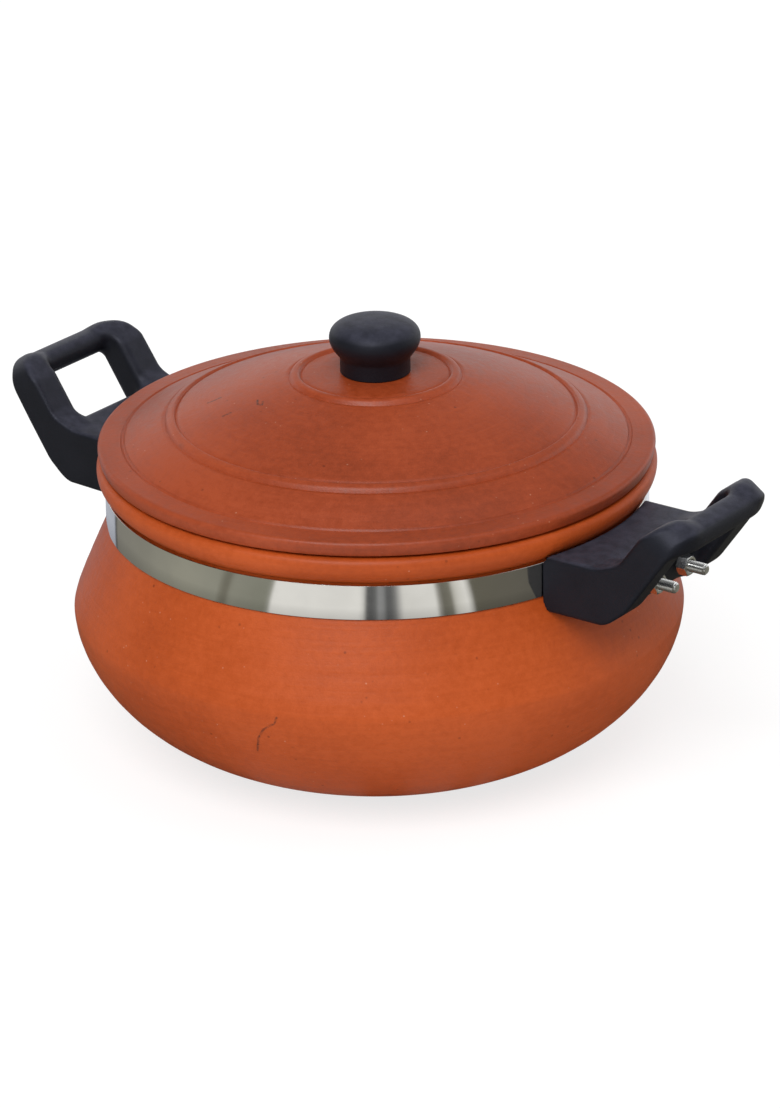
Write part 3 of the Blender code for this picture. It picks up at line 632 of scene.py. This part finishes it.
def make_handle(name, side):
    """Handle on the +X side, or on the -X side where side is -1, with room for its lean in the grid."""
    low = np.array([BAND_OUTER - 0.010, -HANDLE_HALF_WIDTH - 0.0021, PLATE_BOTTOM - 0.0022])
    high = np.array([GRIP_MIDDLE[0] + 0.010, HANDLE_HALF_WIDTH + 0.0021, GRIP_MIDDLE[1] + 0.0120])
    lean, swing = HANDLE_SEATING[side]
    pivot = np.array([BAND_OUTER, 0.0, BOLT_HEIGHT])
    turn = np.array([[cos(lean), 0.0, sin(lean)], [0.0, 1.0, 0.0], [-sin(lean), 0.0, cos(lean)]])
    turn = turn @ np.array([[cos(swing), sin(swing), 0.0], [-sin(swing), cos(swing), 0.0], [0.0, 0.0, 1.0]])

    def leaned(points):
        """The handle leaned about its foot, and still fitted to the upright neck."""
        own = (points - pivot) @ turn + pivot
        neck = neck_radius(points[:, 2]) - np.hypot(points[:, 0], points[:, 1])
        return np.maximum(handle_distance(own), neck)

    points, faces = surface_net(leaned, low, high, HANDLE_GRID)
    if side < 0:
        points = points * np.array([-1.0, -1.0, 1.0])
    mesh = bpy.data.meshes.new(name)
    mesh.from_pydata(points.tolist(), [], faces.tolist())
    mesh.validate()
    return smooth(new_object(name, mesh), 50.0)


# Bolts and nuts

THREAD_PITCH = 0.0008
THREAD_DEPTH = 0.00045
THREAD_TURN_STEPS = 32
THREAD_PITCH_ROWS = 8
BOLT_RADIUS = 0.0025
# How far the rod runs into the handle, and its tip: chamfer length, slope and least radius
BOLT_HIDDEN = 0.0080
TIP_CHAMFER = 0.0009
TIP_SLOPE = 0.9
TIP_RADIUS = 0.0016


def make_bolt(name):
    """Threaded rod with a real helix, from inside the handle to its chamfered end."""
    low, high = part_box(name)
    side = 1 if high.x > 0 else -1
    tip = max(abs(low.x), abs(high.x))
    y = (low.y + high.y) / 2
    z = (low.z + high.z) / 2
    length = tip - WALL_X + BOLT_HIDDEN
    rows_count = int(length / THREAD_PITCH * THREAD_PITCH_ROWS)
    verts, faces = [], []
    for i in range(rows_count + 1):
        x = length * i / rows_count
        for k in range(THREAD_TURN_STEPS):
            angle = 2 * pi * k / THREAD_TURN_STEPS
            phase = (x / THREAD_PITCH - k / THREAD_TURN_STEPS) % 1.0
            wave = min(max(abs(2 * phase - 1) * 1.5 - 0.25, 0.0), 1.0)
            chamfer = max(0.0, x - (length - TIP_CHAMFER)) * TIP_SLOPE
            radius = max(BOLT_RADIUS - THREAD_DEPTH * wave - chamfer, TIP_RADIUS)
            radius = min(radius, BOLT_RADIUS - chamfer)
            verts.append((tip - length + x, y + radius * cos(angle), z + radius * sin(angle)))
    for i in range(rows_count):
        for k in range(THREAD_TURN_STEPS):
            n = (k + 1) % THREAD_TURN_STEPS
            a = i * THREAD_TURN_STEPS
            b = a + THREAD_TURN_STEPS
            faces.append((a + k, a + n, b + n, b + k))
    faces.append(tuple(reversed(range(THREAD_TURN_STEPS))))
    last = rows_count * THREAD_TURN_STEPS
    faces.append(tuple(last + k for k in range(THREAD_TURN_STEPS)))
    mesh = bpy.data.meshes.new(name + "_thread")
    mesh.from_pydata(verts, [], faces)
    if side < 0:
        mesh.transform(Matrix.Scale(-1, 4, (1, 0, 0)))
        mesh.flip_normals()
    shank = new_object(name + "_thread", mesh)
    return smooth(shank, 30.0)


NUT_STEPS = 96
NUT_FACE_SHARE = 0.97
NUT_CHAMFER = radians(30.0)
NUT_BORE_CHAMFER = 0.0006


def make_nut(name):
    """Hexagon nut with chamfered corners on both faces."""
    low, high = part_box(name)
    middle = (low + high) / 2
    half_height = (high.x - low.x) / 2
    corner = (high.y - low.y) / 2
    flat = (high.z - low.z) / 2
    if corner < flat:
        corner, flat = flat, corner
    tall = (high.z - low.z) > (high.y - low.y)
    chamfer_radius = flat * NUT_FACE_SHARE
    bore = BOLT_RADIUS
    verts, faces = [], []
    for k in range(NUT_STEPS):
        angle = 2 * pi * k / NUT_STEPS
        sector = (angle + pi / 6) % (pi / 3) - pi / 6
        outer = flat / cos(sector)
        drop = (outer - chamfer_radius) * tan(NUT_CHAMFER)
        turn = angle + (0.0 if tall else pi / 2)
        for radius, x in (
            (bore, -half_height),
            (chamfer_radius, -half_height),
            (outer, -half_height + drop),
            (outer, half_height - drop),
            (chamfer_radius, half_height),
            (bore + NUT_BORE_CHAMFER, half_height),
            (bore, half_height - NUT_BORE_CHAMFER),
        ):
            verts.append(
                (middle.x + x, middle.y + radius * cos(turn), middle.z + radius * sin(turn))
            )
    ring = 7
    for k in range(NUT_STEPS):
        n = (k + 1) % NUT_STEPS
        for i in range(ring):
            j = (i + 1) % ring
            faces.append((k * ring + i, k * ring + j, n * ring + j, n * ring + i))
    mesh = bpy.data.meshes.new(name + "_hex")
    mesh.from_pydata(verts, [], faces)
    work = bmesh.new()
    work.from_mesh(mesh)
    bmesh.ops.recalc_face_normals(work, faces=work.faces)
    work.to_mesh(mesh)
    work.free()
    return smooth(new_object(name + "_hex", mesh), 25.0)


# Materials

def material(name):
    """New node material: the material, its tree and its shader."""
    finish = bpy.data.materials.new(name)
    finish.use_nodes = True
    return finish, finish.node_tree, finish.node_tree.nodes["Principled BSDF"]


def node(tree, kind, **settings):
    """New node with its inputs or its properties set by name."""
    made = tree.nodes.new(kind)
    for key, value in settings.items():
        if key in made.inputs:
            made.inputs[key].default_value = value
        else:
            setattr(made, key, value)
    return made


def ramp(tree, factor, stops):
    """Colour ramp through stops of (position, colour)."""
    made = tree.nodes.new("ShaderNodeValToRGB")
    elements = made.color_ramp.elements
    while len(elements) > 1:
        elements.remove(elements[-1])
    for i, (place, colour) in enumerate(stops):
        stop = elements[0] if i == 0 else elements.new(place)
        stop.position = place
        stop.color = (*colour, 1.0)
    tree.links.new(factor, made.inputs["Fac"])
    return made.outputs["Color"]


def noise(tree, vector, scale, detail=3.0, roughness=0.5):
    made = node(tree, "ShaderNodeTexNoise", Scale=scale, Detail=detail, Roughness=roughness)
    tree.links.new(vector, made.inputs["Vector"])
    return made.outputs["Fac"]


def mix(tree, factor, a, b, blend="MIX"):
    made = tree.nodes.new("ShaderNodeMix")
    made.data_type = "RGBA"
    made.blend_type = blend
    for value, socket in ((factor, made.inputs["Factor"]), (a, made.inputs["A"]), (b, made.inputs["B"])):
        if isinstance(value, bpy.types.NodeSocket):
            tree.links.new(value, socket)
        elif isinstance(value, (int, float)):
            socket.default_value = value
        else:
            socket.default_value = (*value, 1.0)
    return made.outputs["Result"]


def maths(tree, operation, a, b=0.0):
    made = tree.nodes.new("ShaderNodeMath")
    made.operation = operation
    for value, socket in ((a, made.inputs[0]), (b, made.inputs[1])):
        if isinstance(value, bpy.types.NodeSocket):
            tree.links.new(value, socket)
        else:
            socket.default_value = value
    return made.outputs["Value"]


def ring_coordinates(tree):
    """Object position, and a vector that is nearly constant along each turned ring."""
    place = tree.nodes.new("ShaderNodeTexCoord").outputs["Object"]
    split = tree.nodes.new("ShaderNodeSeparateXYZ")
    tree.links.new(place, split.inputs[0])
    x, y, z = split.outputs
    square = maths(tree, "ADD", maths(tree, "MULTIPLY", x, x), maths(tree, "MULTIPLY", y, y))
    radius = maths(tree, "SQRT", square)
    join = tree.nodes.new("ShaderNodeCombineXYZ")
    tree.links.new(radius, join.inputs[0])
    tree.links.new(z, join.inputs[1])
    tree.links.new(maths(tree, "MULTIPLY", maths(tree, "ARCTAN2", y, x), 0.004), join.inputs[2])
    return place, join.outputs[0]


def bump(tree, shader, height, strength, distance):
    made = node(tree, "ShaderNodeBump", Strength=strength, Distance=distance)
    tree.links.new(height, made.inputs["Height"])
    tree.links.new(made.outputs["Normal"], shader.inputs["Normal"])


def stroke(tree, place, points, width):
    """How far each place lies inside a thin line through the points, from 0 to 1."""
    nearest = None
    for a, b in zip(points[:-1], points[1:]):
        a, b = Vector(a), Vector(b)
        run = b - a
        away = node(tree, "ShaderNodeVectorMath", operation="SUBTRACT")
        tree.links.new(place, away.inputs[0])
        away.inputs[1].default_value = a
        along = node(tree, "ShaderNodeVectorMath", operation="DOT_PRODUCT")
        tree.links.new(away.outputs["Vector"], along.inputs[0])
        along.inputs[1].default_value = run / run.length_squared
        share = maths(tree, "MINIMUM", maths(tree, "MAXIMUM", along.outputs["Value"], 0.0), 1.0)
        foot = node(tree, "ShaderNodeVectorMath", operation="SCALE")
        foot.inputs[0].default_value = run
        tree.links.new(share, foot.inputs["Scale"])
        gap = node(tree, "ShaderNodeVectorMath", operation="DISTANCE")
        tree.links.new(away.outputs["Vector"], gap.inputs[0])
        tree.links.new(foot.outputs["Vector"], gap.inputs[1])
        reach = gap.outputs["Value"]
        nearest = reach if nearest is None else maths(tree, "MINIMUM", nearest, reach)
    return ramp(tree, maths(tree, "DIVIDE", nearest, width), [(0.35, (1, 1, 1)), (1.0, (0, 0, 0))])


def clay(name, dark, middle, light, roughness, sheen, streaks, marks):
    """Fired clay: soft clouds of tone, faint turning lines, fine grain, pits, pale dust and old marks."""
    finish, tree, shader = material(name)
    place, ring = ring_coordinates(tree)
    broad = noise(tree, place, 13.0, 3.0, 0.5)
    streak = noise(tree, ring, 700.0, 2.0, 0.5)
    grain = noise(tree, place, 1300.0, 3.0, 0.6)
    skin = noise(tree, place, 330.0, 4.0, 0.6)
    tone = maths(tree, "ADD", maths(tree, "MULTIPLY", broad, 0.55), maths(tree, "MULTIPLY", streak, streaks))
    tone = maths(tree, "ADD", tone, maths(tree, "MULTIPLY", grain, 0.20 - streaks))
    tone = maths(tree, "ADD", tone, maths(tree, "MULTIPLY", skin, 0.25))
    colour = ramp(tree, tone, [(0.40, dark), (0.50, middle), (0.60, light)])
    patchy = ramp(tree, noise(tree, place, 38.0, 2.0), [(0.52, (0, 0, 0)), (0.60, (1, 1, 1))])
    pit = tuple(c * 0.4 for c in dark)
    for scale, size, shade, share in ((150.0, 0.055, pit, 0.65), (230.0, 0.045, PALE_DUST, 0.45)):
        specks = node(tree, "ShaderNodeTexVoronoi", Scale=scale)
        tree.links.new(place, specks.inputs["Vector"])
        spot = ramp(tree, specks.outputs["Distance"], [(size, (1, 1, 1)), (size * 2.2, (0, 0, 0))])
        spot = maths(tree, "MULTIPLY", maths(tree, "MULTIPLY", spot, patchy), share)
        colour = mix(tree, spot, colour, shade)
    ragged = ramp(tree, noise(tree, place, 900.0, 2.0), [(0.35, (0.25, 0.25, 0.25)), (0.60, (1, 1, 1))])
    for points, width, share in marks:
        line = maths(tree, "MULTIPLY", stroke(tree, place, points, width), ragged)
        colour = mix(tree, maths(tree, "MULTIPLY", line, share), colour, SOOT)
    tree.links.new(colour, shader.inputs["Base Color"])
    rough = maths(tree, "ADD", maths(tree, "MULTIPLY", skin, 0.24), roughness - 0.12)
    tree.links.new(rough, shader.inputs["Roughness"])
    shader.inputs["Specular IOR Level"].default_value = sheen
    height = maths(tree, "ADD", maths(tree, "MULTIPLY", streak, 0.30), maths(tree, "MULTIPLY", grain, 0.25))
    height = maths(tree, "ADD", height, maths(tree, "MULTIPLY", skin, 0.45))
    bump(tree, shader, height, 0.50, 0.0005)
    return finish


def bakelite(name):
    """Black moulded resin: fine grain, and a painted highlight, a lighter bluish tone in patches, on what
    faces up.
    """
    finish, tree, shader = material(name)
    place = tree.nodes.new("ShaderNodeTexCoord").outputs["Object"]
    cloud = noise(tree, place, 60.0, 3.0)
    grain = noise(tree, place, 1700.0, 3.0, 0.65)
    colour = ramp(tree, cloud, [(0.35, (0.0045, 0.0055, 0.0085)), (0.65, (0.0070, 0.0080, 0.0120))])
    colour = mix(tree, maths(tree, "MULTIPLY", grain, 0.4), colour, (0.013, 0.014, 0.021))
    # Painted highlight: faces that point up are mixed, in patches, towards a lighter bluish tone, standing
    # in for the light from above
    facing = tree.nodes.new("ShaderNodeSeparateXYZ")
    tree.links.new(tree.nodes.new("ShaderNodeNewGeometry").outputs["Normal"], facing.inputs[0])
    lit_from_above = ramp(tree, facing.outputs[2], [(0.40, (0, 0, 0)), (0.95, (1, 1, 1))])
    patches = noise(tree, place, 210.0, 4.0, 0.65)
    patches = ramp(tree, patches, [(0.35, (0.45, 0.45, 0.45)), (0.65, (1, 1, 1))])
    colour = mix(tree, maths(tree, "MULTIPLY", lit_from_above, patches), colour, BAKELITE_TOP_HIGHLIGHT)
    tree.links.new(colour, shader.inputs["Base Color"])
    rough = maths(tree, "ADD", maths(tree, "MULTIPLY", grain, 0.22), 0.40)
    tree.links.new(rough, shader.inputs["Roughness"])
    shader.inputs["Specular IOR Level"].default_value = 0.36
    shader.inputs["Specular Tint"].default_value = (0.80, 0.82, 1.0, 1.0)
    bump(tree, shader, grain, 0.35, 0.00025)
    return finish


def steel(name, colour, roughness, grain_scale=900.0, lines=True):
    """Bare or plated metal, its fine grain drawn out round the pot's axis where lines is true."""
    finish, tree, shader = material(name)
    place, ring = ring_coordinates(tree)
    fine = noise(tree, ring if lines else place, grain_scale, 3.0, 0.6)
    cloud = noise(tree, place, 35.0, 3.0)
    shade = [tuple(c * k for c in colour) for k in (0.90, 1.0)]
    tree.links.new(ramp(tree, cloud, [(0.35, shade[0]), (0.65, shade[1])]), shader.inputs["Base Color"])
    shader.inputs["Metallic"].default_value = 1.0
    rough = maths(tree, "ADD", maths(tree, "MULTIPLY", fine, 0.06), roughness - 0.03)
    tree.links.new(rough, shader.inputs["Roughness"])
    bump(tree, shader, fine, 0.05, 0.00005)
    return finish


PALE_DUST = (0.62, 0.36, 0.24)
SOOT = (0.035, 0.018, 0.012)
# Lighter bluish tone painted on the bakelite's upward faces: a painted highlight, not dust
BAKELITE_TOP_HIGHLIGHT = (0.046, 0.047, 0.068)
# Dark marks on the clay: a line through points, its width and its strength
POT_MARKS = (
    (
        (
            (0.0258, -0.1223, 0.0437), (0.0286, -0.1250, 0.0513), (0.0316, -0.1257, 0.0559),
            (0.0344, -0.1254, 0.0581), (0.0367, -0.1250, 0.0596), (0.0380, -0.1248, 0.0626),
        ),
        0.0007,
        0.8,
    ),
)
LID_MARKS = (
    (((-0.0553, -0.0441, 0.1538), (-0.0531, -0.0422, 0.1549), (-0.0515, -0.0401, 0.1558)), 0.0008, 0.85),
    (
        (
            (-0.0301, -0.0428, 0.1600), (-0.0275, -0.0461, 0.1596), (-0.0252, -0.0462, 0.1599),
            (-0.0266, -0.0437, 0.1603),
        ),
        0.0008,
        0.9,
    ),
    (((-0.0387, -0.0553, 0.1550), (-0.0367, -0.0530, 0.1561)), 0.0009, 0.85),
    (((-0.0455, -0.0752, 0.1469), (-0.0430, -0.0765, 0.1470)), 0.0016, 0.45),
)
POT_CLAY = clay(
    "terracotta_pot",
    dark=(0.40, 0.061, 0.007),
    middle=(0.46, 0.074, 0.010),
    light=(0.52, 0.089, 0.015),
    roughness=0.46,
    sheen=0.28,
    streaks=0.10,
    marks=POT_MARKS,
)
LID_CLAY = clay(
    "terracotta_lid",
    dark=(0.26, 0.038, 0.007),
    middle=(0.335, 0.050, 0.010),
    light=(0.40, 0.065, 0.015),
    roughness=0.45,
    sheen=0.44,
    streaks=0.09,
    marks=LID_MARKS,
)
BAKELITE = bakelite("bakelite_black")
BAND_STEEL = steel("band_steel", (0.80, 0.80, 0.78), 0.07)
ZINC = steel("zinc_plate", (0.80, 0.81, 0.80), 0.24, 1500.0, False)
BRASS = steel("brass_turned", (0.72, 0.50, 0.20), 0.30, 1200.0, False)


def dress(piece, finish, body, slot, *nodes):
    """Give a piece its material, tie it to the body, and hide the imported nodes that it stands for; slot is
    not used.
    """
    piece.data.materials.clear()
    piece.data.materials.append(finish)
    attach(piece, body)
    if nodes:
        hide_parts(*nodes)
    return piece


def finish_node(name, finish):
    """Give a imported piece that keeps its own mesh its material."""
    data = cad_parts[name].data
    if not data.materials:
        data.materials.append(finish)
    for i in range(len(data.materials)):
        data.materials[i] = finish


dress(make_pot(), POT_CLAY, "pot", "pot_clay", "pot_body")
dress(make_lid(), LID_CLAY, "lid_set", "lid_clay", "lid")
dress(make_knob(), BAKELITE, "lid_set", "knob_bakelite", "knob")
dress(make_band("band_front", -1), BAND_STEEL, "pot", "band_steel", "band_front")
dress(make_band("band_back", 1), BAND_STEEL, "pot", "band_steel", "band_back")
for hand, sign in (("right", 1), ("left", -1)):
    handle = make_handle("handle_" + hand + "_moulding", sign)
    dress(handle, BAKELITE, "pot", "handle_bakelite", "handle_" + hand)
    for place in ("front", "back"):
        bolt = "bolt_" + hand + "_" + place
        nut = "nut_" + hand + "_" + place
        dress(make_bolt(bolt), ZINC, "pot", "fastener_zinc", bolt)
        dress(make_nut(nut), ZINC, "pot", "fastener_zinc", nut)
finish_node("knob_insert", BRASS)
finish_node("knob_screw", ZINC)
finish_node("knob_washer", ZINC)


# Stage

CARD_WHITE = (0.90, 0.88, 0.84)
TABLE_GREY = (0.31, 0.305, 0.25)
TABLE_DARK = (0.20, 0.19, 0.15)
STUDIO_RING = (
    # degrees round the pot from the camera's side, and what lies there in the studio
    (-180.0, (0.50, 0.52, 0.58)),
    (-128.0, (0.46, 0.48, 0.54)),
    (-126.0, (0.03, 0.03, 0.03)),
    (-124.0, (0.24, 0.23, 0.20)),
    (-75.0, (0.33, 0.32, 0.26)),
    (-60.0, TABLE_GREY),
    (-58.5, TABLE_DARK),
    (-56.0, TABLE_DARK),
    (-54.5, TABLE_GREY),
    (-39.5, (0.26, 0.26, 0.21)),
    (-38.5, CARD_WHITE),
    (-6.0, CARD_WHITE),
    (-4.2, (0.11, 0.11, 0.11)),
    (-1.6, (0.12, 0.12, 0.12)),
    (-0.4, (0.33, 0.33, 0.33)),
    (1.4, (0.28, 0.28, 0.28)),
    (2.4, (0.12, 0.12, 0.12)),
    (5.2, (0.15, 0.15, 0.15)),
    (8.5, (0.80, 0.78, 0.74)),
    (20.0, CARD_WHITE),
    (21.5, (0.16, 0.15, 0.12)),
    (25.5, (0.22, 0.21, 0.17)),
    (27.0, (0.72, 0.70, 0.64)),
    (31.5, CARD_WHITE),
    (33.5, (0.14, 0.13, 0.10)),
    (60.0, (0.13, 0.12, 0.10)),
    (120.0, TABLE_GREY),
    (140.0, (0.80, 0.82, 0.88)),
)


# White paper under the pot: how bright it is, and how much of what the camera sees of it is plain
PAPER_LEVEL = 1.18
PAPER_SHARE = 0.64


def studio_ring(tree, place):
    """What a polished piece mirrors of the surroundings, by direction round the pot, dimmed close to the pot
    by a painted shadow.
    """
    turn = node(tree, "ShaderNodeMapping")
    turn.inputs["Rotation"].default_value = (0.0, 0.0, -VIEW_AZIMUTH)
    tree.links.new(place, turn.inputs["Vector"])
    split = tree.nodes.new("ShaderNodeSeparateXYZ")
    tree.links.new(turn.outputs["Vector"], split.inputs[0])
    angle = maths(tree, "ARCTAN2", split.outputs[1], split.outputs[0])
    share = maths(tree, "ADD", maths(tree, "MULTIPLY", angle, 0.5 / pi), 0.5)
    pattern = ramp(tree, share, [(degrees / 360.0 + 0.5, shade) for degrees, shade in STUDIO_RING])
    reach = node(tree, "ShaderNodeVectorMath", operation="LENGTH")
    tree.links.new(place, reach.inputs[0])
    # Painted shadow: what the floor shows to glossy rays is dimmed close to the pot
    near = ramp(tree, reach.outputs["Value"], [(0.13, (0.20, 0.20, 0.20)), (0.32, (1.0, 1.0, 1.0))])
    return mix(tree, 1.0, pattern, near, "MULTIPLY")


def make_floor():
    """White paper that keeps the soft shadow and shows polished pieces the studio round them."""
    work = bmesh.new()
    bmesh.ops.create_circle(work, cap_ends=True, segments=96, radius=14.0)
    mesh = bpy.data.meshes.new("floor")
    work.to_mesh(mesh)
    work.free()
    floor = new_object("floor", mesh)
    finish, tree, shader = material("floor_white")
    place = tree.nodes.new("ShaderNodeTexCoord").outputs["Object"]
    shade = ramp(tree, noise(tree, place, 3.0, 2.0), [(0.3, (0.90, 0.90, 0.90)), (0.7, (0.92, 0.92, 0.92))])
    tree.links.new(shade, shader.inputs["Base Color"])
    shader.inputs["Roughness"].default_value = 0.9
    shader.inputs["Specular IOR Level"].default_value = 0.2
    mirrored = tree.nodes.new("ShaderNodeEmission")
    tree.links.new(studio_ring(tree, place), mirrored.inputs["Color"])
    paper = node(tree, "ShaderNodeEmission", Strength=PAPER_LEVEL)
    path = tree.nodes.new("ShaderNodeLightPath")
    seen = maths(tree, "MULTIPLY", path.outputs["Is Camera Ray"], PAPER_SHARE)
    surface = shader.outputs["BSDF"]
    for factor, light in ((seen, paper), (path.outputs["Is Glossy Ray"], mirrored)):
        choose = tree.nodes.new("ShaderNodeMixShader")
        tree.links.new(factor, choose.inputs["Fac"])
        tree.links.new(surface, choose.inputs[1])
        tree.links.new(light.outputs["Emission"], choose.inputs[2])
        surface = choose.outputs["Shader"]
    tree.links.new(surface, tree.nodes["Material Output"].inputs["Surface"])
    mesh.materials.append(finish)


def sun(name, azimuth, elevation, strength, spread):
    """Lamp far away, its directions and the spread of its light in degrees."""
    data = bpy.data.lights.new(name, "SUN")
    data.energy = strength
    data.angle = radians(spread)
    lamp = new_object(name, data)
    a, e = radians(azimuth), radians(elevation)
    away = Vector((cos(a) * cos(e), sin(a) * cos(e), sin(e)))
    lamp.rotation_euler = away.to_track_quat("Z", "Y").to_euler()


# Even light of the studio's sky, and the bright backdrop that glossy pieces mirror: its level and
# the direction that it faces
SKY_LEVEL = 0.42
BACKDROP_LEVEL = 1.42
BACKDROP_AZIMUTH = radians(-78.0)


def make_world():
    """Even light all round, white to the camera, and a low bright backdrop for glossy pieces."""
    world = bpy.data.worlds.new("studio")
    bpy.context.scene.world = world
    world.use_nodes = True
    tree = world.node_tree
    ground = tree.nodes["Background"]
    ground.inputs["Color"].default_value = (1.0, 1.0, 1.0, 1.0)
    path = tree.nodes.new("ShaderNodeLightPath")
    seen = maths(tree, "MAXIMUM", path.outputs["Is Camera Ray"], path.outputs["Is Transmission Ray"])
    place = tree.nodes.new("ShaderNodeTexCoord").outputs["Generated"]
    split = tree.nodes.new("ShaderNodeSeparateXYZ")
    tree.links.new(place, split.inputs[0])
    low = ramp(tree, split.outputs[2], [(0.10, (1.0, 1.0, 1.0)), (0.52, (0.15, 0.15, 0.15))])
    ahead = node(tree, "ShaderNodeVectorMath", operation="DOT_PRODUCT")
    tree.links.new(place, ahead.inputs[0])
    ahead.inputs[1].default_value = (cos(BACKDROP_AZIMUTH), sin(BACKDROP_AZIMUTH), 0.0)
    behind = maths(tree, "ADD", ahead.outputs["Value"], 1.0)
    behind = ramp(tree, behind, [(0.60, (1, 1, 1)), (1.0, (0.14, 0.14, 0.14))])
    mirrored = maths(tree, "MULTIPLY", maths(tree, "MULTIPLY", low, behind), BACKDROP_LEVEL)
    glossy = path.outputs["Is Glossy Ray"]
    level = maths(tree, "ADD", maths(tree, "MULTIPLY", glossy, mirrored), SKY_LEVEL)
    level = maths(tree, "SUBTRACT", level, maths(tree, "MULTIPLY", glossy, SKY_LEVEL))
    tree.links.new(maths(tree, "MAXIMUM", level, seen), ground.inputs["Strength"])


# Camera: direction and distance from the point that it looks at on the pot's axis, its roll, and
# its focal length and sideways shift in pixels of a picture of the given width
CAMERA_ELEVATION = radians(23.0)
CAMERA_DISTANCE = 2.360
CAMERA_TARGET = 0.0821
CAMERA_ROLL = radians(-0.95)
PICTURE_WIDTH = 780
FOCAL_PIXELS = 5530
SHIFT_PIXELS = 11.6
SENSOR_WIDTH = 36.0


def make_camera():
    away = Vector((cos(VIEW_AZIMUTH), sin(VIEW_AZIMUTH), 0.0))
    height = CAMERA_TARGET + CAMERA_DISTANCE * sin(CAMERA_ELEVATION)
    place = away * CAMERA_DISTANCE * cos(CAMERA_ELEVATION) + Vector((0.0, 0.0, height))
    ahead = (Vector((0.0, 0.0, CAMERA_TARGET)) - place).normalized()
    up = Vector((0.0, 0.0, 1.0))
    up = (up - ahead * ahead.dot(up)).normalized()
    right = ahead.cross(up)
    tilted_up = up * cos(CAMERA_ROLL) - right * sin(CAMERA_ROLL)
    tilted_right = right * cos(CAMERA_ROLL) + up * sin(CAMERA_ROLL)
    data = bpy.data.cameras.new("camera")
    data.sensor_fit = "HORIZONTAL"
    data.sensor_width = SENSOR_WIDTH
    data.lens = FOCAL_PIXELS / PICTURE_WIDTH * SENSOR_WIDTH
    data.shift_x = SHIFT_PIXELS / PICTURE_WIDTH
    data.clip_end = 100.0
    camera = new_object("camera", data)
    turn = Matrix((tilted_right, tilted_up, -ahead)).transposed().to_4x4()
    camera.matrix_world = Matrix.Translation(place) @ turn
    bpy.context.scene.camera = camera


make_floor()
make_world()
sun("key", -70.0, 46.0, 1.90, 35.0)
sun("fill", 10.0, 60.0, 0.35, 50.0)
make_camera()
bpy.context.scene.view_settings.view_transform = "Standard"
